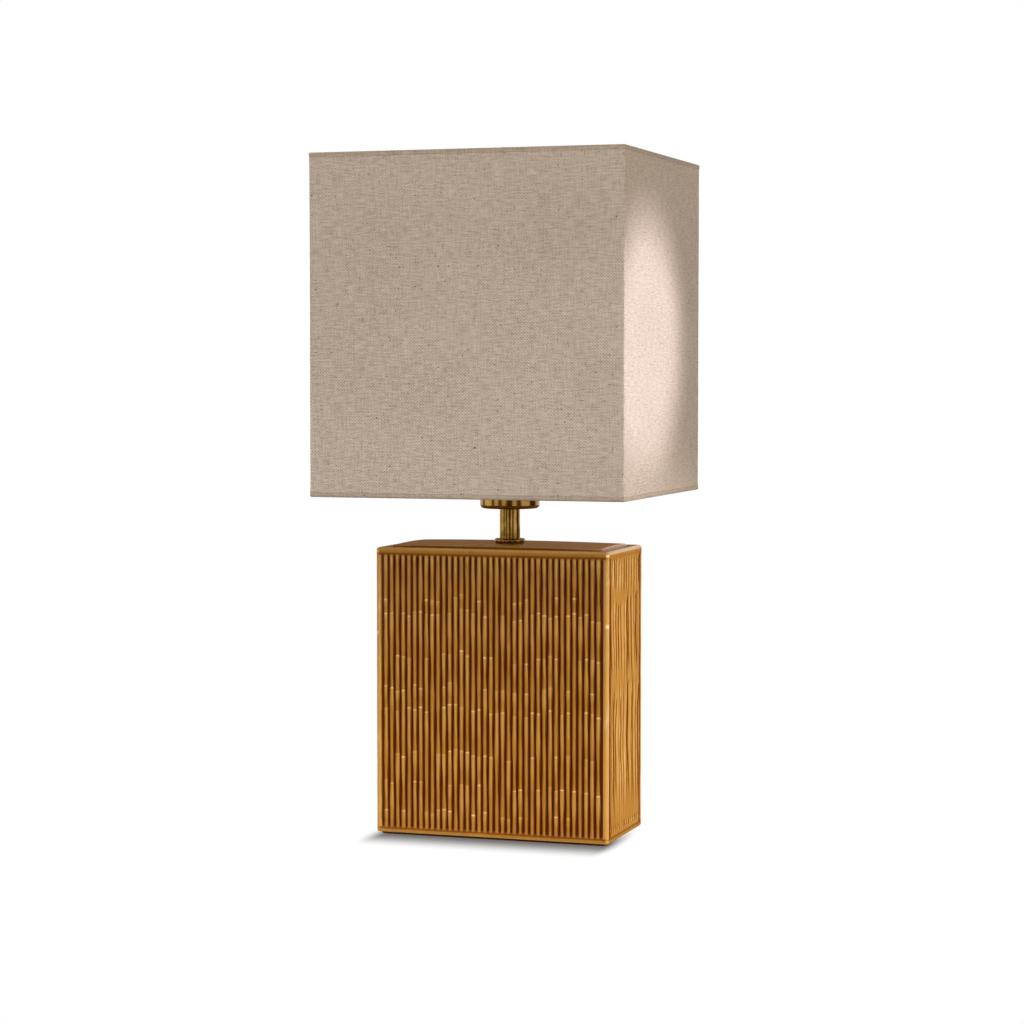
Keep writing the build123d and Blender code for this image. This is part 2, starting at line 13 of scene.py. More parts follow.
import bmesh
import bpy
import numpy as np
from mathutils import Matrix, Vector


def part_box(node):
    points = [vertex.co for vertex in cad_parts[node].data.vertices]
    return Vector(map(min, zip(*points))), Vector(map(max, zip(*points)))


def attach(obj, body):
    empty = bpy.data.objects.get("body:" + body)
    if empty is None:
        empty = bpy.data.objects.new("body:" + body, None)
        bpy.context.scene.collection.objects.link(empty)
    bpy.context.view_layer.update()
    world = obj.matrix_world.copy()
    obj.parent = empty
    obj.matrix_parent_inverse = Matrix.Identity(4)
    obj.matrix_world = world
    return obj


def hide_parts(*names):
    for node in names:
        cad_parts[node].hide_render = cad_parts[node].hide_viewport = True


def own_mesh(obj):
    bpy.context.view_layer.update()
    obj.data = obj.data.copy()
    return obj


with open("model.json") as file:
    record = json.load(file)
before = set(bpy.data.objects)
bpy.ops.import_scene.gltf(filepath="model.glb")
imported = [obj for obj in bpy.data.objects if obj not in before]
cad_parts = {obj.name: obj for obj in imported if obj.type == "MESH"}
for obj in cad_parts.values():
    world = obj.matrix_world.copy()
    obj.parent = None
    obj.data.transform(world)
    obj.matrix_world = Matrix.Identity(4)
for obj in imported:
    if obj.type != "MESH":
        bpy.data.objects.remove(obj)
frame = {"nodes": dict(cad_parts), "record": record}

MM = 0.001
logging.basicConfig(level=logging.INFO, format="%(message)s")
log = logging.getLogger("lamp")


class Seed(IntEnum):
    """Seeds of the random draws. A face's number is added where each face has its own."""

    RIB_SHIFT = 3
    RIB_WAVER = 5
    STROKE_SWAY = 7
    STROKE_WAVER = 9
    RIB_LENGTHS = 11
    WALL = 21
    CLOTH_PANEL = 31
    CLOTH_HEIGHT = 32
    CLOTH_RIPPLE = 33
    FELT_EDGE = 41
    STROKES = 51
    RIB_GLOW = 71
    BEAD_KNOCKS = 81


# ---- Arrays and meshes ---------------------------------------------------------------------


def smooth(t: np.ndarray) -> np.ndarray:
    """Ease from 0 to 1 with level ends: three t squared less two t cubed, clamped outside."""
    t = np.clip(t, 0.0, 1.0)
    return t * t * (3.0 - 2.0 * t)


def drift(at: np.ndarray, seed: int, wavelength: float, waves: int = 4) -> np.ndarray:
    """A slow seeded wander of about -1 to 1: a sum of sines near one wavelength.

    Args:
        at: Positions, in millimetres.
        seed: Seed of the wave lengths and phases.
        wavelength: Mean length of a wave, in millimetres.
        waves: How many sines are added.

    Returns:
        The wander at each position.
    """
    rng = np.random.default_rng(seed)
    sizes = wavelength * rng.uniform(0.6, 1.7, waves)
    phases = rng.uniform(0.0, 2.0 * math.pi, waves)
    total = np.zeros(np.shape(at))
    for size, phase in zip(sizes, phases):
        total = total + np.sin(2.0 * math.pi * at / size + phase)
    return total / math.sqrt(2.0 * waves)


def softened(profile: np.ndarray, radius: float, steps: int = 4, closed: bool = True) -> np.ndarray:
    """Rounds the corners of a profile with quadratic curves.

    Each corner P becomes (1-t)^2 A + 2t(1-t) P + t^2 B, with A and B on its two sides.

    Args:
        profile: Points as (radius, height) rows.
        radius: How far A and B lie from the corner, or 0.45 of a side if that is less.
        steps: Points on each curve.
        closed: Whether the last point joins the first. The ends of an open profile stay.

    Returns:
        The rounded profile.
    """
    before = np.roll(profile, 1, axis=0) - profile
    after = np.roll(profile, -1, axis=0) - profile
    size_before = np.linalg.norm(before, axis=1, keepdims=True)
    size_after = np.linalg.norm(after, axis=1, keepdims=True)
    start = profile + before / size_before * np.minimum(radius, 0.45 * size_before)
    end = profile + after / size_after * np.minimum(radius, 0.45 * size_after)
    t = np.linspace(0.0, 1.0, steps)[None, :, None]
    curve = (1 - t) ** 2 * start[:, None] + 2 * t * (1 - t) * profile[:, None] + t**2 * end[:, None]
    if closed:
        return curve.reshape(-1, 2)
    middle = curve[1:-1].reshape(-1, 2)
    return np.vstack([profile[:1], middle, profile[-1:]])


class Draft:
    """A mesh while it is put together from grids and rings of points."""

    def __init__(self, name: str) -> None:
        """Starts an empty mesh for the piece of this name."""
        self.name = name
        self.points: list[np.ndarray] = []
        self.quads: list[np.ndarray] = []
        self.triangles: list[np.ndarray] = []
        self.count = 0

    def add(self, xyz: np.ndarray) -> np.ndarray:
        """Adds points in millimetres.

        Args:
            xyz: Any array whose last axis is x, y, z.

        Returns:
            The points' numbers, in the array's own shape.
        """
        flat = xyz.reshape(-1, 3)
        self.points.append(flat)
        ids = np.arange(self.count, self.count + len(flat)).reshape(xyz.shape[:-1])
        self.count += len(flat)
        return ids

    def grid(self, ids: np.ndarray, wrap_rows: bool, keep: np.ndarray | None = None) -> None:
        """Quads over a grid whose columns run round a closed loop.

        Args:
            ids: Point numbers as (rows, columns).
            wrap_rows: Whether the last row joins the first.
            keep: Which cells get a face, as booleans, or None for all.
        """
        up = np.roll(ids, -1, axis=0) if wrap_rows else ids[1:]
        low = ids if wrap_rows else ids[:-1]
        cells = np.stack([low, np.roll(low, -1, axis=1), np.roll(up, -1, axis=1), up], axis=-1)
        self.quads.append(cells[keep] if keep is not None else cells.reshape(-1, 4))

    def zipped(self, ids_a: np.ndarray, at_a: np.ndarray, ids_b: np.ndarray, at_b: np.ndarray) -> None:
        """Triangles between two closed rings of different counts.

        Both rings run the same way, and each point has its place round the loop from 0 up to 1.
        Every step along one ring makes a triangle with the point reached on the other.

        Args:
            ids_a: Point numbers of the first ring.
            at_a: Places of its points, rising from 0.
            ids_b: Point numbers of the second ring.
            at_b: Places of its points, rising from 0.
        """
        next_a, next_b = np.append(at_a[1:], 1.0), np.append(at_b[1:], 1.0)
        reached_b = ids_b[np.searchsorted(next_b, next_a, side="left") % len(ids_b)]
        reached_a = ids_a[np.searchsorted(next_a, next_b, side="right") % len(ids_a)]
        self.triangles.append(np.stack([ids_a, np.roll(ids_a, -1), reached_b], axis=1))
        self.triangles.append(np.stack([np.roll(ids_b, -1), ids_b, reached_a], axis=1))

    def fan(self, ids: np.ndarray, middle: int) -> None:
        """Triangles from a closed ring to one middle point."""
        centre = np.full(len(ids), middle)
        self.triangles.append(np.stack([ids, np.roll(ids, -1), centre], axis=1))

    def build(
        self, body: str, slot: str, material: bpy.types.Material, crease: float = 40.0
    ) -> bpy.types.Object:
        """Makes the piece, in metres, with its faces outwards and smooth up to the crease angle.

        Args:
            body: The CAD body that it rides on.
            slot: The record's material slot; not used.
            material: Its finish.
            crease: Edges sharper than this many degrees stay crisp.

        Returns:
            The new object.
        """
        mesh = bpy.data.meshes.new(self.name)
        faces = [face for block in self.quads + self.triangles for face in block.tolist()]
        mesh.from_pydata(np.vstack(self.points) * MM, [], faces)
        mesh.validate()
        shell = bmesh.new()
        shell.from_mesh(mesh)
        bmesh.ops.recalc_face_normals(shell, faces=shell.faces)
        shell.to_mesh(mesh)
        shell.free()
        mesh.polygons.foreach_set("use_smooth", np.ones(len(mesh.polygons), bool))
        mesh.set_sharp_from_angle(angle=math.radians(crease))
        mesh.materials.append(material)
        piece = bpy.data.objects.new(self.name, mesh)
        bpy.context.scene.collection.objects.link(piece)
        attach(piece, body)
        log.info("%s: %d faces", self.name, len(mesh.polygons))
        return piece


def point_values(piece: bpy.types.Object, name: str, values: np.ndarray) -> None:
    """Stores one number for each point of a piece, for its material to read."""
    layer = piece.data.attributes.new(name, "FLOAT", "POINT")
    layer.data.foreach_set("value", values.astype(np.float32).ravel())


# ---- Material helpers ----------------------------------------------------------------------


def linear(code: str) -> tuple[float, float, float, float]:
    """Turns an sRGB hex colour such as B08A4A to linear red, green, blue and alpha."""
    srgb = [int(code[i : i + 2], 16) / 255.0 for i in (0, 2, 4)]
    values = [c / 12.92 if c <= 0.04045 else ((c + 0.055) / 1.055) ** 2.4 for c in srgb]
    return values[0], values[1], values[2], 1.0


def add_node(
    tree: bpy.types.NodeTree,
    kind: str,
    settings: dict | None = None,
    inputs: dict | None = None,
    stops: list | None = None,
) -> bpy.types.Node:
    """Adds a node with its settings and links.

    Args:
        tree: The node tree.
        kind: The node's type name, without the leading ShaderNode.
        settings: Properties to set, by name.
        inputs: Inputs by name or number: a socket is linked and anything else is set.
        stops: For a colour ramp, its (place, colour) pairs.

    Returns:
        The new node.
    """
    node = tree.nodes.new("ShaderNode" + kind)
    for key, value in (settings or {}).items():
        setattr(node, key, value)
    for key, value in (inputs or {}).items():
        if isinstance(value, bpy.types.NodeSocket):
            tree.links.new(value, node.inputs[key])
        else:
            node.inputs[key].default_value = value
    if stops:
        ramp = node.color_ramp
        while len(ramp.elements) < len(stops):
            ramp.elements.new(1.0)
        for element, (place, colour) in zip(ramp.elements, stops):
            element.position = place
            element.color = colour
    return node


def maths(tree: bpy.types.NodeTree, operation: str, *values: object) -> bpy.types.NodeSocket:
    """The output of a Math node fed with these sockets or numbers."""
    return add_node(tree, "Math", {"operation": operation}, dict(enumerate(values))).outputs[0]


def spread(
    tree: bpy.types.NodeTree, value: bpy.types.NodeSocket, low: float, high: float, top: float = 1.0
) -> bpy.types.NodeSocket:
    """A value's place between low and high, as 0 to top, held there outside."""
    inputs = {"Value": value, "From Min": low, "From Max": high, "To Max": top}
    return add_node(tree, "MapRange", inputs=inputs).outputs[0]


@dataclass(frozen=True)
class Finish:
    """What all finishes share: a name and a Principled shader to set."""

    name: str = "finish"

    def start(self, **inputs: object) -> tuple[bpy.types.Material, bpy.types.NodeTree, bpy.types.Node]:
        """Starts a material with one Principled shader.

        Args:
            inputs: Values of the shader's sockets, with _ for a space in a name.

        Returns:
            The material, its node tree and the shader.
        """
        material = bpy.data.materials.new(self.name)
        material.use_nodes = True
        tree = material.node_tree
        shader = tree.nodes["Principled BSDF"]
        for key, value in inputs.items():
            shader.inputs[key.replace("_", " ")].default_value = value
        return material, tree, shader

    def place(self, tree: bpy.types.NodeTree, scale: tuple[float, float, float]) -> bpy.types.NodeSocket:
        """Object coordinates times a scale in cycles per metre along X, Y and Z."""
        at = add_node(tree, "TexCoord")
        mapped = add_node(tree, "Mapping", inputs={"Vector": at.outputs["Object"], "Scale": scale})
        return mapped.outputs["Vector"]

    def noise(
        self, tree: bpy.types.NodeTree, vector: bpy.types.NodeSocket, scale: float = 1.0, detail: float = 2.0
    ) -> bpy.types.NodeSocket:
        """Noise of about 0 to 1 at one scale."""
        inputs = {"Vector": vector, "Scale": scale, "Detail": detail}
        return add_node(tree, "TexNoise", inputs=inputs).outputs["Fac"]

    def bump(
        self,
        tree: bpy.types.NodeTree,
        shader: bpy.types.Node,
        height: bpy.types.NodeSocket,
        depth: float,
        strength: float = 1.0,
    ) -> None:
        """Bumps a shader by a height of 0 to 1 that stands for a depth in millimetres."""
        inputs = {"Height": height, "Distance": depth * MM, "Strength": strength}
        node = add_node(tree, "Bump", inputs=inputs)
        tree.links.new(node.outputs["Normal"], shader.inputs["Normal"])


@dataclass(frozen=True)
class ReactiveGlaze(Finish):
    """Amber iron glaze on stoneware, dipped and fired glossy.

    It breaks pale where it runs thin over edges, and pools dark brown in the grooves. Its palest tone also
    paints glints on the rib steps and beads and highlights on the carved ridges, and its darkest also paints
    shade in the carved grooves.
    """

    name: str = "amber_reactive_glaze"
    broken_and_highlight: str = "E3C79A"
    thin: str = "C0924E"
    body: str = "AA7832"
    deep: str = "824C14"
    pooled_and_shade: str = "562304"
    sheen: str = "FFD9A8"
    patch_mm: float = 34.0
    mottle_mm: float = 2.4
    ripple_mm: float = 3.0

    def material(self) -> bpy.types.Material:
        """Makes the glaze."""
        material, tree, shader = self.start(Roughness=0.17, IOR=1.48)
        shader.inputs["Specular Tint"].default_value = linear(self.sheen)
        # The pool attribute holds glaze pooling and thin glaze, and also painted glints, highlights and
        # shade.
        pool = add_node(tree, "Attribute", {"attribute_name": "pool"}).outputs["Fac"]
        patches = self.noise(tree, self.place(tree, (1000 / self.patch_mm,) * 3), 1.0, 3.0)
        fine = 1000 / self.mottle_mm
        mottle = self.noise(tree, self.place(tree, (fine, fine, 0.3 * fine)), 1.0, 2.0)
        clouded = maths(tree, "MULTIPLY_ADD", patches, 0.34, pool)
        place = spread(tree, maths(tree, "MULTIPLY_ADD", mottle, 0.2, clouded), -0.33, 1.27)
        stops = [
            (0.06, linear(self.broken_and_highlight)),
            (0.2, linear(self.thin)),
            (0.42, linear(self.body)),
            (0.66, linear(self.deep)),
            (0.95, linear(self.pooled_and_shade)),
        ]
        ramp = add_node(tree, "ValToRGB", inputs={"Fac": place}, stops=stops)
        tree.links.new(ramp.outputs["Color"], shader.inputs["Base Color"])
        ripple = self.noise(tree, self.place(tree, (1000 / self.ripple_mm,) * 3), 1.0, 1.0)
        self.bump(tree, shader, ripple, 0.12, 0.5)
        return material


@dataclass(frozen=True)
class Brass(Finish):
    """Solid brass, turned, polished and lightly antiqued under lacquer.

    Turning leaves hair lines round the axis that only soften the reflections.
    """

    name: str = "antique_brass"
    colour: str = "BE974A"
    tarnish: str = "977432"
    roughness: float = 0.2
    line_mm: float = 0.5

    def material(self) -> bpy.types.Material:
        """Makes the brass."""
        material, tree, shader = self.start(Metallic=1.0, Roughness=self.roughness)
        cloud = self.noise(tree, self.place(tree, (120.0, 120.0, 120.0)), 1.0, 3.0)
        stops = [(0.35, linear(self.tarnish)), (0.6, linear(self.colour))]
        ramp = add_node(tree, "ValToRGB", inputs={"Fac": cloud}, stops=stops)
        tree.links.new(ramp.outputs["Color"], shader.inputs["Base Color"])
        lines = self.noise(tree, self.place(tree, (20.0, 20.0, 1000 / self.line_mm)), 1.0, 2.0)
        self.bump(tree, shader, lines, 0.004, 0.4)
        return material


@dataclass(frozen=True)
class SlubLinen(Finish):
    """Unbleached linen, plain weave of slubby yarn, glued on a stiff lining.

    The yarns are about 0.6 mm apart, too fine for the picture, so each is drawn 1.05 mm wide.
    Thick slubs run along the weft, and specks of flax husk show as dark flecks.
    """

    name: str = "oatmeal_linen"
    shadow: str = "A09284"
    yarn: str = "B7A798"
    light: str = "C8B8A9"
    fleck: str = "5F4D3D"
    yarn_mm: float = 1.05
    slub_mm: float = 8.0
    fleck_mm: float = 2.3
    middle_mm: float = 350.0
    edge_mm: float = 109.0

    def material(self) -> bpy.types.Material:
        """Makes the linen."""
        material, tree, shader = self.start(Roughness=0.92, Sheen_Weight=0.12, Sheen_Roughness=0.5)
        at = add_node(tree, "UVMap", {"uv_map": "cloth"}).outputs["UV"]

        def stretched(across: float, along: float, detail: float) -> bpy.types.NodeSocket:
            """Noise with cells of these sizes in millimetres across and up the cloth."""
            scale = (1000 / across, 1000 / along, 1.0)
            mapped = add_node(tree, "Mapping", inputs={"Vector": at, "Scale": scale})
            return self.noise(tree, mapped.outputs["Vector"], 1.0, detail)

        def thread(direction: str, wander: bpy.types.NodeSocket) -> bpy.types.NodeSocket:
            """Wave of -1 to 1 over two yarns, bent by a wander."""
            scale = math.pi * 1000 / self.yarn_mm
            turned = add_node(tree, "VectorMath", {"operation": "SCALE"}, {0: at, "Scale": scale})
            parts = add_node(tree, "SeparateXYZ", inputs={0: turned.outputs[0]})
            bent = maths(tree, "MULTIPLY_ADD", wander, 7.0, parts.outputs[direction])
            return maths(tree, "SINE", bent)

        wander = stretched(26.0, 19.0, 1.0)
        over = maths(tree, "MULTIPLY", thread("X", wander), thread("Y", wander))
        weft = stretched(self.slub_mm, self.yarn_mm, 2.0)
        warp = stretched(self.yarn_mm, self.slub_mm * 1.6, 1.0)
        clouds = stretched(70.0, 50.0, 2.0)
        slubs = maths(tree, "MULTIPLY_ADD", warp, 0.5, weft)
        height = maths(tree, "MULTIPLY_ADD", over, 0.2, slubs)
        place = spread(tree, maths(tree, "MULTIPLY_ADD", clouds, 0.2, height), 0.44, 1.25)
        stops = [(0.14, linear(self.shadow)), (0.5, linear(self.yarn)), (0.86, linear(self.light))]
        ramp = add_node(tree, "ValToRGB", inputs={"Fac": place}, stops=stops)
        husk = stretched(self.fleck_mm, self.fleck_mm * 0.7, 0.0)
        speck = spread(tree, husk, 0.8, 0.84, 0.85)
        hair = stretched(self.slub_mm * 0.6, self.yarn_mm * 0.7, 0.0)
        upright = stretched(self.yarn_mm * 0.7, self.slub_mm * 0.6, 0.0)
        strand = spread(tree, maths(tree, "MAXIMUM", hair, upright), 0.72, 0.85, 0.55)
        marks = maths(tree, "MAXIMUM", speck, strand)
        mix = add_node(
            tree,
            "Mix",
            {"data_type": "RGBA"},
            {"Factor": marks, 6: ramp.outputs["Color"], 7: linear(self.fleck)},
        )
        rolled = add_node(
            tree,
            "Mix",
            {"data_type": "RGBA", "blend_type": "MULTIPLY"},
            {"Factor": 1.0, 6: mix.outputs[2], 7: self.roll(tree)},
        )
        tree.links.new(rolled.outputs[2], shader.inputs["Base Color"])
        self.bump(tree, shader, height, 0.3, 0.6)
        return material

    def roll(self, tree: bpy.types.NodeTree) -> bpy.types.NodeSocket:
        """Tone of the rolled edges: a painted shade line where each roll meets the panel, and a darker tone
        on the roll.
        """
        at = add_node(tree, "SeparateXYZ", inputs={0: self.place(tree, (1.0, 1.0, 1.0))})
        away = maths(tree, "ABSOLUTE", maths(tree, "SUBTRACT", at.outputs["Z"], self.middle_mm * MM))
        low, high = self.edge_mm * MM, (self.edge_mm + 6.0) * MM
        place = spread(tree, away, low, high)
        # A painted shade line where the roll meets the panel, then a darker band over the roll.
        stops = [
            (0.4, linear("FFFFFF")),
            (0.5, linear("DCD6D0")),
            (0.6, linear("F4F1EE")),
            (0.95, linear("E0DAD4")),
        ]
        return add_node(tree, "ValToRGB", inputs={"Fac": place}, stops=stops).outputs["Color"]


@dataclass(frozen=True)
class Plain(Finish):
    """An even moulded, coated or fired surface with a faint grain of its own.

    The grain size and depth tell it apart: fine and shallow on glass, coarse on felt.
    """

    colour: str = "FFFFFF"
    shade: str = "F0F0F0"
    roughness: float = 0.4
    metallic: float = 0.0
    ior: float = 1.5
    grain_mm: float = 1.0
    depth_mm: float = 0.02

    def material(self) -> bpy.types.Material:
        """Makes the surface."""
        material, tree, shader = self.start(Roughness=self.roughness, Metallic=self.metallic, IOR=self.ior)
        grain = self.noise(tree, self.place(tree, (1000 / self.grain_mm,) * 3), 1.0, 2.0)
        stops = [(0.3, linear(self.shade)), (0.7, linear(self.colour))]
        ramp = add_node(tree, "ValToRGB", inputs={"Fac": grain}, stops=stops)
        tree.links.new(ramp.outputs["Color"], shader.inputs["Base Color"])
        self.bump(tree, shader, grain, self.depth_mm, 0.6)
        return material


class Surface(Enum):
    """The lamp's finishes, by the record's material slots."""

    GLAZE = ReactiveGlaze()
    ANTIQUE_BRASS = Brass()
    LINEN = SlubLinen()
    BRIGHT_BRASS = Brass("bright_pressed_brass", "C9A659", "B8944A", 0.25, 0.5)
    ZINC = Plain("zinc_plated_steel", "B4B4AE", "9C9C98", 0.34, 1.0, 1.5, 0.6, 0.01)
    PHENOLIC = Plain("black_moulded_phenolic", "161616", "101010", 0.42, 0.0, 1.55, 0.8, 0.02)
    RUBBER = Plain("black_sheet_rubber", "1C1C1B", "141413", 0.75, 0.0, 1.52, 0.9, 0.05)
    FELT = Plain("brown_wool_felt", "3A2E27", "241C17", 0.95, 0.0, 1.45, 1.1, 0.35)
    PORCELAIN = Plain("white_porcelain", "E9E7E0", "DEDBD2", 0.28, 0.0, 1.5, 4.0, 0.03)
    POWDER_COAT = Plain("white_powder_coat", "E4E3DE", "D8D7D1", 0.45, 0.0, 1.5, 0.7, 0.03)
    STYRENE = Plain("white_styrene_lining", "EDEBE4", "E4E1D9", 0.5, 0.0, 1.59, 3.0, 0.02)
    CAP_METAL = Plain("nickelled_bulb_cap", "C2C1BD", "AEADA9", 0.26, 1.0, 1.5, 1.0, 0.01)
    CAP_GLASS = Plain("black_cap_glass", "0C0C0D", "08080A", 0.12, 0.0, 1.52, 2.0, 0.01)
    COLLAR = Plain("white_bulb_collar", "E6E5E1", "DEDDD8", 0.4, 0.0, 1.57, 1.5, 0.02)
    OPAL = Plain("opal_diffuser", "EFEDE7", "EAE7E0", 0.32, 0.0, 1.58, 6.0, 0.01)


SLOTS = {
    "amber_glaze": Surface.GLAZE,
    "felt": Surface.FELT,
    "black_plastic": Surface.PHENOLIC,
    "rubber": Surface.RUBBER,
    "zinc_steel": Surface.ZINC,
    "antique_brass": Surface.ANTIQUE_BRASS,
    "contact_brass": Surface.BRIGHT_BRASS,
    "porcelain": Surface.PORCELAIN,
    "white_wire": Surface.POWDER_COAT,
    "white_lining": Surface.STYRENE,
    "oatmeal_linen": Surface.LINEN,
    "bulb_metal": Surface.CAP_METAL,
    "bulb_insulator": Surface.CAP_GLASS,
    "bulb_plastic": Surface.COLLAR,
    "opal_plastic": Surface.OPAL,
}


class Palette:
    """Each finish's material, made once."""

    def __init__(self) -> None:
        """Makes the materials of every slot."""
        self.by_slot = {slot: surface.value.material() for slot, surface in SLOTS.items()}

    def dress(self, record: dict, nodes: dict[str, bpy.types.Object]) -> None:
        """Gives each CAD node the finish of its slot in the record.

        Args:
            record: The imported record.
            nodes: The CAD nodes by name.
        """
        for row in record["subparts"]:
            mesh = nodes[row["node"]].data
            mesh.materials.clear()
            mesh.materials.append(self.by_slot[row["material_slot"]])


# ---- Ceramic base --------------------------------------------------------------------------


class Face(Enum):
    """The block's four upright faces: centre line turned by this many degrees from the front."""

    FRONT = 0
    RIGHT = 90
    BACK = 180
    LEFT = 270


@dataclass
class CeramicBase:
    """Hollow stoneware block with ribs laid in staggered lengths, and carved sides."""

    palette: Palette
    bead_radius: float = 2.2
    rib_count: int = 37
    rib_depth: float = 1.4
    flute_depth: float = 0.8
    bottom_band: float = 3.0
    top_band: float = 4.5
    band_groove: float = 0.45
    foot_bevel: float = 1.4
    rim_radius: float = 2.2
    panel_inset: float = 8.5
    panel_rise: float = 2.5
    end_drop: float = 0.8
    side_drop: float = 0.7
    panel_radius: float = 2.0
    wall: float = 7.4
    floor: float = 7.0
    ceiling: float = 9.0
    cavity_radius: float = 6.0
    floor_hole: float = 25.0
    nipple_hole: float = 5.5
    cord_height: float = 20.0
    cord_hole: float = 5.9
    cord_boss: float = 11.0
    front_samples: int = 8
    back_samples: int = 5
    side_samples: int = 92
    wall_rows: int = 104
    band_rows: int = 9
    band_reach: float = 5.0
    recess: float = 0.22
    step_half: float = 0.25
    step_margin: float = 0.8
    bead_pool: float = -0.24
    bead_margin: float = 0.8
    # Heights of the painted glints on the beads.
    bead_glints: tuple[float, ...] = (148.0, 196.0)
    rib_tiers: tuple[float, ...] = (29.5, 40.5, 69.5, 91.0, 106.0, 136.5, 158.0, 176.0)
    rib_odds: tuple[float, ...] = (0.25, 0.55, 0.5, 0.35, 0.55, 0.55, 0.35, 0.35)
    # Each tier: start, end, strokes, jitter of the ends, stray, least and most half width.
    carved_tiers: tuple[tuple[float, float, int, float, float, tuple[float, float]], ...] = (
        (0.0, 26.0, 12, 2.5, 1.2, (0.9, 1.6)),
        (24.0, 86.0, 12, 8.0, 1.8, (0.9, 2.0)),
        (86.0, 177.0, 12, 12.0, 1.8, (0.9, 2.0)),
        (181.5, 187.5, 15, 0.4, 0.25, (1.0, 1.3)),
    )
    width: float = field(init=False)
    depth: float = field(init=False)
    low: float = field(init=False)
    top: float = field(init=False)

    def __post_init__(self) -> None:
        """Takes the block's outer size and place from its CAD node."""
        low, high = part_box("ceramic_base")
        self.width = (high.x - low.x) / MM
        self.depth = (high.y - low.y) / MM
        self.low = low.z / MM
        self.top = high.z / MM

    def rim(self) -> float:
        """Height of the flat round the raised panel."""
        return self.top - self.panel_rise

    def bead_gap(self, depth: float) -> float:
        """Distance from a bead's centre line to where a groove of this depth meets its circle."""
        return math.sqrt(self.bead_radius**2 - (self.bead_radius - depth) ** 2)

    def bead_depth(self, width: float, along: np.ndarray) -> np.ndarray:
        """Depth of the corner beads' circles under a face of this width: R - sqrt(R^2 - x^2)."""
        near = width / 2 - self.bead_radius - np.abs(along)
        return self.bead_radius - np.sqrt(self.bead_radius**2 - np.clip(near, 0, self.bead_radius) ** 2)

    def face_columns(self, face: Face) -> tuple[np.ndarray, np.ndarray]:
        """Places of one face's columns along it.

        Args:
            face: Which face.

        Returns:
            Distance along the face from its middle, and place across the rib from -1 to 1, or
            2 on the beads, where no rib runs.
        """
        ribbed = face in (Face.FRONT, Face.BACK)
        half = (self.width if ribbed else self.depth) / 2 - self.bead_radius
        gap = self.bead_gap(self.rib_depth if ribbed else self.flute_depth)
        bead = half - gap * np.array([0.0, 0.4, 0.75, 1.0] if ribbed else [0.0, 0.4, 0.75])
        if ribbed:
            samples = self.front_samples if face is Face.FRONT else self.back_samples
            count = self.rib_count * samples
            reach = half - gap - self.bead_margin
            middle = np.linspace(-reach, reach, count + 1)
            across = (np.arange(count + 1) % samples) / samples * 2.0 - 1.0
            across = np.where(np.arange(count + 1) == count, 1.0, across)
        else:
            middle = np.linspace(-(half - gap), half - gap, self.side_samples + 1)
            across = np.zeros(self.side_samples + 1)
        beads = np.full(len(bead), 2.0)
        return np.concatenate([-bead, middle, bead[::-1]]), np.concatenate([beads, across, beads])

    def rows(self) -> np.ndarray:
        """Heights of the wall's rows, close together near the foot and the rim."""
        foot, head = self.low + self.foot_bevel, self.rim() - self.rim_radius
        first, last = foot + self.band_reach, head - self.band_reach
        middle = np.linspace(first, last, self.wall_rows)[1:-1]
        near_foot = np.linspace(foot, first, self.band_rows)
        near_head = np.linspace(last, head, self.band_rows)
        return np.concatenate([near_foot, middle, near_head])

    def band_lines(self, height: np.ndarray) -> np.ndarray:
        """Where the shallow lines lie that part both plain bands from the ribs, from 0 to 1."""
        upper = np.exp(-(((height - self.rim() + self.top_band) / 0.9) ** 2))
        lower = np.exp(-(((height - self.low - self.bottom_band) / 0.7) ** 2))
        return np.maximum(upper, lower)

    def rib_marks(self, face: Face) -> list[tuple[np.ndarray, np.ndarray]]:
        """Where the proud lengths of each rib start and end, from seeded draws.

        The lengths start near eight common heights, and each rib takes three or four of them.

        Args:
            face: Front or back, which are laid differently.

        Returns:
            For each rib, the tops and the feet of its proud lengths, in millimetres of height.
        """
        rng = np.random.default_rng(Seed.RIB_LENGTHS + face.value)
        tiers, odds = np.array(self.rib_tiers), np.array(self.rib_odds)
        top = self.rim() - self.top_band
        marks = []
        for index in range(self.rib_count):
            taken = rng.random(len(tiers)) < odds
            taken[index % len(tiers)] = True
            sway = 1.6 * math.sin(index * 0.37 + face.value) + 1.2 * math.sin(index * 0.9)
            chosen = (tiers + rng.uniform(-2.0, 2.0, len(tiers)) + sway)[taken]
            tops = top - chosen
            lengths = rng.uniform(17.0, 42.0, len(tops))
            room = np.append(tops[:-1] - tops[1:], tops[-1:] - self.low - self.bottom_band) - 6.0
            tops = np.append(top + 2.0, tops)
            lengths = np.append(rng.uniform(6.0, 30.0), np.minimum(lengths, np.maximum(room, 4.0)))
            lengths[0] = min(lengths[0], chosen[0] - 4.0)
            marks.append((tops, tops - lengths))
        return marks

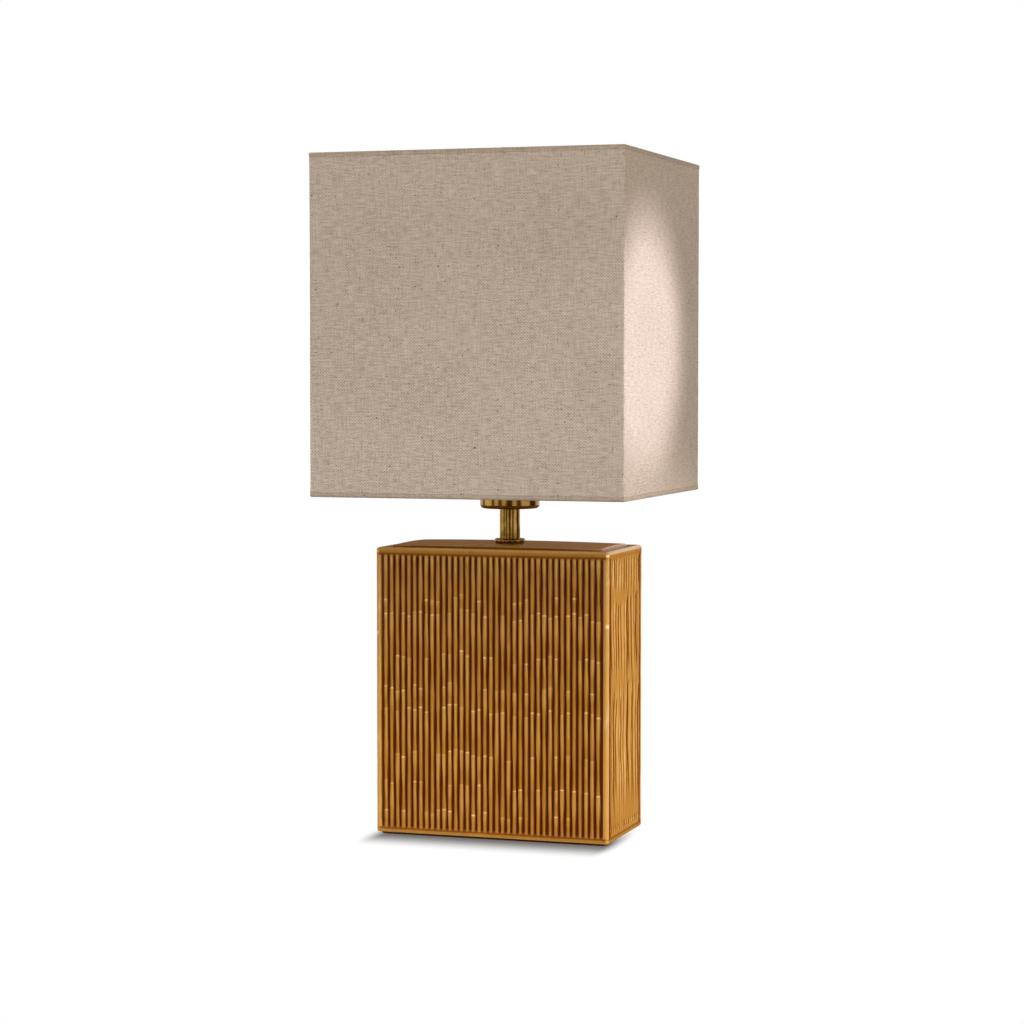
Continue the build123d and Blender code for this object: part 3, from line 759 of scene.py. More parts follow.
    def rib_face(
        self, face: Face, along: np.ndarray, across: np.ndarray, height: np.ndarray
    ) -> tuple[np.ndarray, np.ndarray, np.ndarray, np.ndarray]:
        """Ribs of the front or back.

        Across a rib the depth is R - sqrt(R^2 - c^2), a circle's arc from crest to groove. Where
        a length isn't proud, its crest lies deeper by the recess. A step is half a millimetre tall.

        Args:
            face: Front or back.
            along: Distance of each column along the face.
            across: Its place across its rib, or 2 on a bead.
            height: Heights as (rows, columns), moved here so that rows fall on the steps.

        Returns:
            Inward depth, sideways shift, heights and pooling, each as (rows, columns).
        """
        half = self.width / 2 - self.bead_radius - self.bead_gap(self.rib_depth) - self.bead_margin
        pitch = 2.0 * half / self.rib_count
        on_rib = across < 1.5
        rib = np.clip(((along + half) / pitch - 1e-6).astype(int), 0, self.rib_count - 1)
        height = height.copy()
        proud = np.zeros_like(height)
        thin_glaze_and_glint = np.zeros_like(height)
        columns = np.arange(len(along))
        marks = self.rib_marks(face)
        most = max(len(tops) for tops, _ in marks)
        tops = np.full((self.rib_count, most), -100.0)
        feet = np.full((self.rib_count, most), -120.0)
        for index, (t, f) in enumerate(marks):
            tops[index, : len(t)] = t
            feet[index, : len(f)] = f
        rounding = 0.5 * np.minimum(across**2, 1.0)
        glint_strength = np.random.default_rng(Seed.RIB_GLOW + face.value).uniform(0.35, 1.3, (self.rib_count, most))
        levels = height[:, 0].copy()
        for k in range(most):
            step = tops[rib, k] - rounding
            row = np.searchsorted(levels, step) - 1
            fits = on_rib & (row > 2) & (row < len(height) - 4)
            outer, inner = self.step_margin, self.step_half
            for offset, place in ((-1, -outer), (0, -inner), (1, inner), (2, outer)):
                height[row[fits] + offset, columns[fits]] = step[fits] + place
        for k in range(most):
            step = tops[rib, k] - rounding
            starts = np.clip((step + self.step_half - height) / (2 * self.step_half), 0.0, 1.0)
            fresh = np.clip((height - feet[rib, k]) / np.maximum(tops[rib, k] - feet[rib, k], 1.0), 0.0, 1.0)
            proud = np.maximum(proud, starts * smooth(fresh * 1.6))
            # Painted glint at each step's top: a paler line of tone, partly also thin glaze breaking over
            # the step.
            thin_glaze_and_glint = np.maximum(thin_glaze_and_glint, glint_strength[rib, k] * np.exp(-(((height - step) / 0.4) ** 2)))
        circle = ((pitch / 2) ** 2 + self.rib_depth**2) / (2 * self.rib_depth)
        place = np.minimum(np.abs(across), 1.0)
        chord = place * pitch / 2
        arc = circle - np.sqrt(circle**2 - chord**2)
        depth = np.minimum(arc + self.recess * (1.0 - proud) * (1.0 - place**4), self.rib_depth)
        bead = self.bead_depth(self.width, along)
        depth = np.where(on_rib, depth, bead)
        waver = 0.07 * drift(height + 37.0 * rib, Seed.RIB_WAVER + face.value, 22.0)
        depth = np.where(on_rib, np.clip(depth + waver, 0.0, self.rib_depth), depth)
        fade = self.end_fade(height, 2.4)
        shift = 0.28 * drift(height + 9.0 * along, Seed.RIB_SHIFT + face.value, 45.0) * fade * on_rib
        tip = np.exp(-np.clip(self.rim() - self.top_band - height, 0.0, 200.0) / 12.0)
        # Crests are paler near the rib tops, on proud lengths, and at the painted glints of the steps.
        crest = 0.08 - 0.25 * proud - 0.16 * tip - 0.55 * thin_glaze_and_glint
        pool = crest * (1.0 - place**2) + 1.02 * smooth((place - 0.26) / 0.6)
        pool = np.where(on_rib, pool, self.bead_pool + 1.3 * smooth((depth / self.rib_depth - 0.3) / 0.6))
        line = self.band_lines(height)
        depth = np.maximum(depth * fade, self.band_groove * line)
        return depth, shift, height, 0.1 + (pool - 0.1) * fade + 0.45 * line

    def end_fade(self, height: np.ndarray, reach: float) -> np.ndarray:
        """Nought on the two plain bands, rising to one over the reach in a quarter sine."""
        low = (height - self.low - self.bottom_band) / reach
        high = (self.rim() - self.top_band - height) / reach
        return np.sin(np.clip(np.minimum(low, high), 0.0, 1.0) * math.pi / 2)

    def carved_face(
        self, face: Face, along: np.ndarray, across: np.ndarray, height: np.ndarray
    ) -> tuple[np.ndarray, np.ndarray, np.ndarray, np.ndarray]:
        """Carved strokes of a side.

        Each stroke is a groove exp(-(distance / width)^2) about a wavering line, with sharp ends.
        They lie in four tiers: short, long, long, and a row of ticks over the foot.

        Args:
            face: Left or right.
            along: Distance of each column along the face.
            across: 2 on a bead.
            height: Heights as (rows, columns).

        Returns:
            Inward depth, sideways shift, heights and pooling, each as (rows, columns).
        """
        rng = np.random.default_rng(Seed.STROKES + face.value)
        half = self.depth / 2 - self.bead_radius - self.bead_gap(self.flute_depth)
        top = self.rim() - self.top_band
        depth = np.zeros_like(height)
        carved = np.zeros_like(height)
        sway = 1.1 * drift(height, Seed.STROKE_SWAY + face.value, 75.0)
        for start, end, count, jitter, stray, sizes in self.carved_tiers:
            places = np.linspace(-half + 4.5, half - 4.5, count) + rng.uniform(-stray, stray, count)
            for place in places:
                upper = top - start - rng.uniform(-0.3, 1.0) * jitter
                lower = top - end + rng.uniform(-1.0, 1.0) * jitter
                lean = rng.uniform(-1.0, 1.0) * stray
                size = rng.uniform(*sizes)
                waver = 0.35 * stray * drift(height + 31.0 * place, Seed.STROKE_WAVER, 30.0)
                tilt = lean * (height - (upper + lower) / 2) / (upper - lower)
                middle = place + stray / 1.8 * sway + waver + tilt
                reach = 0.3 * (upper - lower)
                opening = smooth((upper - height) / (0.3 * reach + 1.0))
                window = opening * smooth((height - lower) / (reach + 1.0))
                groove = np.exp(-(((along - middle) / size) ** 2))
                depth = np.maximum(depth, rng.uniform(0.5, 0.8) * groove * window)
                carved = np.maximum(carved, window * np.exp(-(((along - middle) / (size + 2.6)) ** 2)))
        on_face = across < 1.5
        bead = self.bead_depth(self.depth, along)
        gap = self.flute_depth * np.exp(-(((half - np.abs(along)) / 2.2) ** 2))
        fade = self.end_fade(height, 2.4)
        depth = np.where(on_face, np.maximum(depth, gap), bead)
        share = np.clip(depth / self.flute_depth, 0.0, 1.0)
        # Painted highlight on the ridges beside the strokes and painted shade in the strokes and grooves,
        # partly also thin and pooled glaze.
        pool = 0.04 - 0.56 * carved + 1.9 * share + 0.3 * np.exp(-(((half - np.abs(along)) / 2.0) ** 2))
        pool = np.where(on_face, pool, self.bead_pool + (1.0 - self.bead_pool) * smooth(share))
        line = self.band_lines(height) * np.where(height > self.rim() / 2, 0.25, 1.0)
        depth = np.maximum(depth * fade, self.band_groove * line)
        return depth, np.zeros_like(height), height, 0.1 + (pool - 0.1) * fade + 0.4 * line

    def outline(self, inset: float, radius: float, spans: tuple[int, int], corner: int) -> np.ndarray:
        """A rounded rectangle inside the block's edge, as (count, 2) points.

        It starts at the left end of the front and runs to the right.

        Args:
            inset: Distance inside the edge.
            radius: Corner radius.
            spans: Steps along a long and a short side.
            corner: Points inside each corner's arc.

        Returns:
            The points.
        """
        points = []
        for face in Face:
            long_side = face in (Face.FRONT, Face.BACK)
            width, reach = (self.width, self.depth) if long_side else (self.depth, self.width)
            run = width / 2 - inset - radius
            along = np.linspace(-run, run, spans[0 if long_side else 1] + 1)
            out = np.full_like(along, reach / 2 - inset)
            turn = np.linspace(0, math.pi / 2, corner + 2)[1:-1]
            along = np.concatenate([along, run + radius * np.sin(turn)])
            out = np.concatenate([out, reach / 2 - inset - radius + radius * np.cos(turn)])
            points.append(self.turned(face, along, out))
        return np.vstack(points)

    def turned(self, face: Face, along: np.ndarray, out: np.ndarray) -> np.ndarray:
        """Plan points of a face from distance along it and out from the axis."""
        angle = math.radians(face.value)
        x = along * math.cos(angle) + out * math.sin(angle)
        y = along * math.sin(angle) - out * math.cos(angle)
        return np.stack([x, y], axis=-1)

    def bead_tone(self, height: np.ndarray, face: Face) -> np.ndarray:
        """Tone along the bead at a face's right end: pale glaze, with a few painted glints as paler spots.
        """
        shifts = np.random.default_rng(Seed.BEAD_KNOCKS + face.value).uniform(-30.0, 30.0, len(self.bead_glints))
        tone = self.bead_pool + 0.35 * self.band_lines(height)
        # Painted glints: paler spots on the bead at set heights.
        for level, shift in zip(self.bead_glints, shifts):
            at = level if face is Face.FRONT else level - abs(shift)
            tone = tone - 0.5 * np.exp(-(((height - at) / 0.9) ** 2))
        return tone

    def wall_grid(self) -> tuple[np.ndarray, np.ndarray, np.ndarray, np.ndarray]:
        """The outer wall with ribs, carving, beads, bands and both rounded edges.

        Returns:
            Points as (rows, columns, 3), pooling as (rows, columns), each column's place round
            the block from 0 to 1, and which columns belong to the back.
        """
        rows = self.rows()
        below = np.array([[0.0, 1.0], [0.18, 0.5], [0.55, 0.14]]) * self.foot_bevel
        turn = np.linspace(0, math.pi / 2, 6)[1:]
        corner = np.linspace(0, math.pi / 2, 10)[1:-1]
        grids, pools, backs, edges = [], [], [], []
        for face in Face:
            along, across = self.face_columns(face)
            height = np.repeat(rows[:, None], len(along), axis=1)
            work = self.rib_face if face in (Face.FRONT, Face.BACK) else self.carved_face
            depth, shift, height, pool = work(face, along, across, height)
            if face is Face.BACK:
                away = np.hypot(along, height - self.cord_height)
                blend = smooth((away - self.cord_boss) / 1.2)
                depth, pool = depth * blend, 0.25 + (pool - 0.25) * blend
            reach = (self.depth if face in (Face.FRONT, Face.BACK) else self.width) / 2
            flat = np.stack([along + shift, reach - depth], axis=-1)
            half = (self.width if face in (Face.FRONT, Face.BACK) else self.depth) / 2 - self.bead_radius
            arc_along = half + self.bead_radius * np.sin(corner)
            arc_out = reach - self.bead_radius * (1 - np.cos(corner))
            arc = np.stack([arc_along, arc_out], axis=-1)
            flat = np.concatenate([flat, np.repeat(arc[None], len(rows), axis=0)], axis=1)
            arc_height = np.repeat(rows[:, None], len(corner), axis=1)
            height = np.concatenate([height, arc_height], axis=1)
            plan = self.turned(face, flat[..., 0], flat[..., 1])
            grids.append(np.concatenate([plan, height[..., None]], axis=-1))
            pools.append(np.concatenate([pool, self.bead_tone(arc_height, face)], axis=1))
            backs.append(np.full(flat.shape[1], face is Face.BACK))
            angle = math.radians(face.value)
            normal_flat = np.tile([math.sin(angle), -math.cos(angle)], (len(along), 1))
            turned = angle + corner
            normal_arc = np.stack([np.sin(turned), -np.cos(turned)], axis=-1)
            edges.append(np.vstack([normal_flat, normal_arc]))
        grid = np.concatenate(grids, axis=1)
        pool = np.concatenate(pools, axis=1)
        outward = np.vstack(edges)
        waver = 0.12 * drift(grid[..., 2] + 2.0 * grid[..., 0], Seed.WALL, 60.0)[..., None]
        grid[..., :2] -= np.abs(waver) * outward * self.end_fade(grid[..., 2], 8.0)[..., None]

        def ring(base: np.ndarray, inset: float, level: float) -> np.ndarray:
            """A row's copy, drawn in and set at a level."""
            plan = base[:, :2] - outward * inset
            return np.concatenate([plan, np.full((len(plan), 1), level)], axis=1)[None]

        low_rings = [ring(grid[0], inset, self.low + up) for up, inset in below]
        bow = self.rim_radius
        high_rings = [
            ring(grid[-1], bow * (1 - math.cos(a)), self.rim() - bow + bow * math.sin(a)) for a in turn
        ]
        grid = np.concatenate([*low_rings, grid, *high_rings], axis=0)
        edge_low = [pool[:1] * 0.0 + tone for tone in (0.3, -0.05, -0.15)]
        edge_high = [pool[-1:] * 0.0 + tone for tone in (-0.08, -0.2, -0.24, -0.16, 0.0)]
        pool = np.concatenate([*edge_low, pool, *edge_high], axis=0)
        steps = np.linalg.norm(np.diff(np.vstack([grid[-1], grid[-1, :1]])[:, :2], axis=0), axis=1)
        place = np.concatenate([[0.0], np.cumsum(steps)[:-1]]) / steps.sum()
        return grid, pool, place, np.concatenate(backs)

    def inner_rings(self) -> tuple[list[np.ndarray], list[float]]:
        """Rings over the top, down the nipple's hole, round the cavity and out under the foot.

        Returns:
            The rings from the rim inwards, each (count, 3), and their pooling.
        """
        spans, corner = (36, 18), 5
        sizes = {"spans": spans, "corner": corner}

        def flat(inset: float, radius: float, level: float) -> np.ndarray:
            """A rounded rectangle at one level."""
            plan = self.outline(inset, radius, **sizes)
            return np.concatenate([plan, np.full((len(plan), 1), level)], axis=1)

        def circle(like: np.ndarray, radius: float, level: float) -> np.ndarray:
            """A circle whose points have the angles of another ring's points."""
            plan = like[:, :2] / np.linalg.norm(like[:, :2], axis=1, keepdims=True) * radius
            return np.concatenate([plan, np.full((len(plan), 1), level)], axis=1)

        def between(a: np.ndarray, b: np.ndarray, shares: list[float]) -> list[np.ndarray]:
            """Rings part of the way from one ring to another."""
            return [a + (b - a) * share for share in shares]

        def crowned(ring: np.ndarray, under: float = 0.0) -> np.ndarray:
            """A ring laid on the panel's crown, or under it: both arches are parabolas."""
            ring = ring.copy()
            ends = self.end_drop * (ring[:, 0] / (self.width / 2 - i)) ** 2
            sides = self.side_drop * (ring[:, 1] / (self.depth / 2 - i)) ** 2
            ring[:, 2] = top - ends - sides - under
            return ring

        rim, top, i, r = self.rim(), self.top, self.panel_inset, self.panel_radius
        rings = [flat(self.rim_radius + 0.8, 1.2, rim)]
        rings += [flat(i - 0.8, r, rim - 0.04), flat(i - 0.25, r, rim + 0.05), flat(i, r, rim + 0.3)]
        rings += [crowned(flat(i + 0.15, r, top), 0.55), crowned(flat(i + 0.5, r, top), 0.18)]
        rings += [crowned(flat(i + 1.2, r, top), 0.03)]
        edge = crowned(flat(i + 2.0, r, top))
        mouth = circle(edge, self.nipple_hole, top)
        rings += [edge, *[crowned(ring) for ring in between(edge, mouth, [0.2, 0.4, 0.6, 0.8])], mouth]
        ceiling = top - self.ceiling
        vault = flat(self.wall, self.cavity_radius, ceiling)
        throat = circle(edge, self.nipple_hole, ceiling)
        rings += [throat, *between(throat, vault, [0.5]), vault]
        floor = self.low + self.floor
        for level in (120.0, 60.0, self.cord_height + 10.0, self.cord_height - 9.0, floor):
            rings.append(flat(self.wall, self.cavity_radius, level))
        pit = circle(vault, self.floor_hole, floor)
        rings += [*between(rings[-1], pit, [0.5]), pit, circle(vault, self.floor_hole, self.low)]
        sole = flat(self.foot_bevel + 1.5, 1.5, self.low)
        rings += [*between(rings[-1], sole, [0.5]), sole]
        pools = [0.12, 0.5, 0.85, 0.7, 0.3, 0.05, 0.1, 0.28, 0.34, 0.34, 0.34, 0.34, 0.34]
        pools += [0.5] * (len(rings) - len(pools))
        return rings, pools

    def build(self) -> bpy.types.Object:
        """Joins the outer wall and the inner rings into one closed shell with its cord hole."""
        draft = Draft("glazed_ceramic_base")
        grid, pool, place, back = self.wall_grid()
        at = np.hypot(grid[..., 0], grid[..., 2] - self.cord_height)
        inside = (at < self.cord_hole + 1.2) & back[None, :]
        rows_in, columns_in = np.where(inside)
        r0, r1, c0, c1 = rows_in.min(), rows_in.max(), columns_in.min(), columns_in.max()
        keep = np.ones((len(grid) - 1, grid.shape[1]), bool)
        keep[r0:r1, c0:c1] = False
        loop_rows = np.concatenate([
            np.full(c1 - c0, r0), np.arange(r0, r1), np.full(c1 - c0, r1), np.arange(r1, r0, -1)
        ])
        loop_columns = np.concatenate([
            np.arange(c0, c1), np.full(r1 - r0, c1), np.arange(c1, c0, -1), np.full(r1 - r0, c0)
        ])
        hole = grid[loop_rows, loop_columns]
        offset = np.stack([hole[:, 0], hole[:, 2] - self.cord_height], axis=1)
        offset *= self.cord_hole / np.linalg.norm(offset, axis=1, keepdims=True)
        grid[loop_rows, loop_columns, 0] = offset[:, 0]
        grid[loop_rows, loop_columns, 1] = self.depth / 2
        grid[loop_rows, loop_columns, 2] = self.cord_height + offset[:, 1]
        wall = draft.add(grid)
        draft.grid(wall, False, keep)
        rings, ring_pool = self.inner_rings()
        stack = np.stack(rings)
        ids = draft.add(stack)
        cells = np.ones((len(rings) - 1, stack.shape[1]), bool)
        middle = np.abs(stack[..., 0]) < 9.0
        rear = stack[..., 1] > self.depth / 2 - self.wall - 0.5
        levels = stack[:, :, 2]
        over_hole = np.abs(levels[:-1] - (self.cord_height + 10.0)) < 0.1
        under_hole = np.abs(levels[1:] - (self.cord_height - 9.0)) < 0.1
        gap = over_hole & under_hole & middle[:-1] & rear[:-1] & np.roll(middle[:-1], -1, axis=1)
        cells[gap] = False
        draft.grid(ids, False, cells)
        row = int(np.where(gap.any(axis=1))[0][0])
        span = np.where(gap[row])[0]
        columns = np.append(span, span[-1] + 1)
        inner = np.concatenate([ids[row, columns], ids[row + 1, columns[::-1]]])
        mouth, mouth_points = wall[loop_rows, loop_columns], grid[loop_rows, loop_columns]
        inner_points = stack.reshape(-1, 3)[inner - ids[0, 0]]
        self.join_cord_hole(draft, mouth, mouth_points, inner, inner_points)
        ring_place = self.ring_place(stack[0])
        draft.zipped(wall[-1], place, ids[0], ring_place)
        draft.zipped(wall[0], place, ids[-1], ring_place)
        piece = draft.build("base", "amber_glaze", self.palette.by_slot["amber_glaze"], 60.0)
        values = np.concatenate([pool.ravel(), np.repeat(ring_pool, stack.shape[1])])
        values = np.append(values, np.full(len(piece.data.vertices) - len(values), 0.5))
        point_values(piece, "pool", values)
        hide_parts("ceramic_base")
        return piece

    def ring_place(self, ring: np.ndarray) -> np.ndarray:
        """Each point's place round a ring, from 0 to 1."""
        steps = np.linalg.norm(np.diff(np.vstack([ring, ring[:1]])[:, :2], axis=0), axis=1)
        return np.concatenate([[0.0], np.cumsum(steps)[:-1]]) / steps.sum()

    def join_cord_hole(
        self,
        draft: Draft,
        outer: np.ndarray,
        outer_points: np.ndarray,
        inner: np.ndarray,
        inner_points: np.ndarray,
    ) -> None:
        """Walls the cord's hole, from its mouth in the back to the cavity.

        Args:
            draft: The base's mesh.
            outer: Point numbers round the mouth.
            outer_points: Their points.
            inner: Point numbers round the gap in the cavity's wall.
            inner_points: Their points.
        """

        def ordered(ids: np.ndarray, points: np.ndarray) -> tuple[np.ndarray, np.ndarray, np.ndarray]:
            """Numbers and places sorted by angle about the hole's axis, starting at 0."""
            angle = np.arctan2(points[:, 2] - self.cord_height, points[:, 0]) / (2 * math.pi) % 1.0
            order = np.argsort(angle)
            return ids[order], angle[order] - angle[order][0], angle[order]

        outer_ids, outer_place, outer_angle = ordered(outer, outer_points)
        turn = np.linspace(0, 2 * math.pi, 33)[:-1] + outer_angle[0] * 2 * math.pi
        ring = np.stack(
            [
                self.cord_hole * np.cos(turn),
                np.full(32, self.depth / 2 - self.wall),
                self.cord_height + self.cord_hole * np.sin(turn),
            ],
            axis=1,
        )
        ring_ids = draft.add(ring)
        ring_place = np.arange(32) / 32
        draft.zipped(outer_ids, outer_place, ring_ids, ring_place)
        inner_ids, inner_place, inner_angle = ordered(inner, inner_points)
        moved = (inner_angle - outer_angle[0]) % 1.0
        order = np.argsort(moved)
        draft.zipped(ring_ids, ring_place, inner_ids[order], moved[order] - moved[order][0])


@dataclass
class FeltSole:
    """Wool felt cut to the foot and glued under it, with a soft, slightly uneven cut edge."""

    palette: Palette
    corner: float = 3.0
    edge: float = 0.35
    unevenness: float = 0.12

    def ring(self, half: tuple[float, float], inset: float, level: float, arc: int = 6) -> np.ndarray:
        """A rounded rectangle, its edge moved in by a slow seeded waver.

        Args:
            half: Half the sheet's width and depth.
            inset: Distance inside the sheet's edge.
            level: Height.
            arc: Points inside each corner.

        Returns:
            Points as (count, 3).
        """
        points = []
        for index in range(4):
            width, reach = half if index % 2 == 0 else half[::-1]
            run = width - self.corner
            along = np.linspace(-run, run, 40 if index % 2 == 0 else 20)
            turn = np.linspace(0, math.pi / 2, arc + 2)[1:-1]
            radius = self.corner - inset
            uneven = self.unevenness * (0.5 + 0.5 * drift(along, Seed.FELT_EDGE + index, 9.0))
            along = np.concatenate([along, run + radius * np.sin(turn)])
            straight = reach - inset - np.clip(uneven, 0, 0.3)
            out = np.concatenate([straight, reach - self.corner + radius * np.cos(turn)])
            angle = index * math.pi / 2
            x = along * math.cos(angle) + out * math.sin(angle)
            y = along * math.sin(angle) - out * math.cos(angle)
            points.append(np.stack([x, y, np.full_like(x, level)], axis=-1))
        return np.vstack(points)

    def build(self) -> bpy.types.Object:
        """Makes the sheet as a closed, thin piece."""
        low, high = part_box("base_felt")
        half = (high.x / MM, high.y / MM)
        thick = high.z / MM
        draft = Draft("felt_sole")
        edge = self.edge
        levels = ((4.0, 0.0), (edge, 0.0), (0.0, edge), (0.0, thick - edge), (edge, thick), (4.0, thick))
        ids = draft.add(np.stack([self.ring(half, min(inset, self.corner - 0.2), z) for inset, z in levels]))
        draft.grid(ids, False)
        for row, z in ((0, 0.0), (-1, thick)):
            draft.fan(ids[row], int(draft.add(np.array([[0.0, 0.0, z]]))[0]))
        piece = draft.build("base", "felt", self.palette.by_slot["felt"])
        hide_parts("base_felt")
        return piece


# ---- Turned pieces -------------------------------------------------------------------------


class Spindle(Enum):
    """Axis that a turned piece is turned about."""

    UPRIGHT = "up"
    BACKWARD = "back"


@dataclass
class Thread:
    """A screw thread on the outside of a turned piece, as a ripple that climbs as it turns."""

    pitch: float
    depth: float
    low: float
    high: float

    def cut(self, radius: np.ndarray, height: np.ndarray, turn: np.ndarray, face: float) -> np.ndarray:
        """Radius less depth times (1 - cos(2 pi (height / pitch - turn))) / 2 on the outside.

        Args:
            radius: Radii as (rows, columns).
            height: Heights as (rows, columns).
            turn: Turns from 0 to 1 as (1, columns).
            face: Radius of the face that carries the thread.

        Returns:
            The threaded radii.
        """
        ends = smooth((height - self.low) / self.pitch) * smooth((self.high - height) / self.pitch)
        ripple = 0.5 - 0.5 * np.cos(2 * math.pi * (height / self.pitch - turn))
        return np.where(radius > face - 0.01, radius - self.depth * ripple * ends, radius)


@dataclass
class TurnedPiece:
    """A piece of revolution: its closed section carried round an axis."""

    name: str
    section: list[tuple[float, float]]
    node: str
    body: str
    slot: str
    rounding: float = 0.3
    segments: int = 96
    thread: Thread | None = None
    spindle: Spindle = Spindle.UPRIGHT
    centre: float = 0.0
    crease: float = 50.0

    def build(self, palette: Palette) -> bpy.types.Object:
        """Makes the piece in place of its CAD node.

        Args:
            palette: The materials.

        Returns:
            The new object.
        """
        section = np.array(self.section, float)
        solid = section[0, 0] == 0.0
        section = softened(section, self.rounding, 5, closed=not solid)
        if self.thread:
            section = self.divided(section, self.thread)
        turn = np.arange(self.segments)[None, :] / self.segments
        body = section[1:-1] if solid else section
        radius = np.repeat(body[:, :1], self.segments, axis=1)
        height = np.repeat(body[:, 1:], self.segments, axis=1)
        if self.thread:
            radius = self.thread.cut(radius, height, turn, section[:, 0].max())
        angle = 2 * math.pi * turn
        draft = Draft(self.name)
        ids = draft.add(self.placed(radius * np.cos(angle), radius * np.sin(angle), height))
        draft.grid(ids, not solid)
        if solid:
            ends = self.placed(np.zeros(2), np.zeros(2), section[[0, -1], 1])
            poles = draft.add(ends)
            draft.fan(ids[0], int(poles[0]))
            draft.fan(ids[-1], int(poles[1]))
        piece = draft.build(self.body, self.slot, palette.by_slot[self.slot], self.crease)
        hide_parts(self.node)
        return piece

    def placed(self, x: np.ndarray, y: np.ndarray, z: np.ndarray) -> np.ndarray:
        """Points about the axis: upright, or pointing backwards at the centre's height."""
        if self.spindle is Spindle.UPRIGHT:
            return np.stack([x, y, z], axis=-1)
        return np.stack([x, z, self.centre + y], axis=-1)

    def divided(self, section: np.ndarray, thread: Thread) -> np.ndarray:
        """The section with its threaded side cut into eight steps for each turn."""
        face = section[:, 0].max()
        low, high = thread.low, thread.high
        count = int((high - low) / thread.pitch * 8)
        levels = np.linspace(low, high, count)
        after = np.roll(section, -1, axis=0)
        outside = (section[:, 0] > face - 0.01) & (after[:, 0] > face - 0.01)
        long_side = outside & (np.abs(after[:, 1] - section[:, 1]) > high - low - 2)
        at = int(np.where(long_side)[0][0])
        rising = after[at, 1] > section[at, 1]
        side = np.stack([np.full(count, face), levels if rising else levels[::-1]], axis=1)
        return np.vstack([section[: at + 1], side, section[at + 1 :]])


def span(node: str) -> tuple[float, float, float]:
    """Foot, top and outer radius of a round upright CAD node, in millimetres."""
    low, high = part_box(node)
    return low.z / MM, high.z / MM, high.x / MM


@dataclass
class BrassNeck:
    """Seat ring, neck tube and lampholder cup."""

    palette: Palette

    def build(self) -> None:
        """Makes the three turned pieces."""
        z0, z1, r = span("seat_ring")
        half = (z1 - z0) / 2
        turn = np.linspace(-math.pi / 2, math.pi / 2, 13)
        bulge = [(r - half + half * math.cos(a), z0 + half + half * math.sin(a)) for a in turn]
        ring = [(5.3, z0), *bulge, (5.3, z1)]
        TurnedPiece("brass_seat_ring", ring, "seat_ring", "base", "antique_brass", 0.1).build(self.palette)
        z0, z1, r = span("neck_tube")
        tube = [(r - 1.4, z0), (r, z0), (r, z1), (r - 1.4, z1)]
        TurnedPiece("brass_neck_tube", tube, "neck_tube", "base", "antique_brass", 0.25).build(self.palette)
        z0, z1, r = span("holder_cup")
        wall = 1.0
        turn = np.linspace(-math.pi / 2, 0, 9)
        bend = [(r - 2.5 + 2.5 * math.cos(a), z0 + 2.5 + 2.5 * math.sin(a)) for a in turn]
        inside = [(r - wall, z1), (r - wall, z0 + 2.4), (r - 2.2, z0 + 1.3), (5.3, z0 + 1.3)]
        cup = [(5.3, z0), *bend, (r, z1), *inside]
        piece = TurnedPiece("brass_holder_cup", cup, "holder_cup", "base", "antique_brass", 0.2, 128)
        piece.build(self.palette)


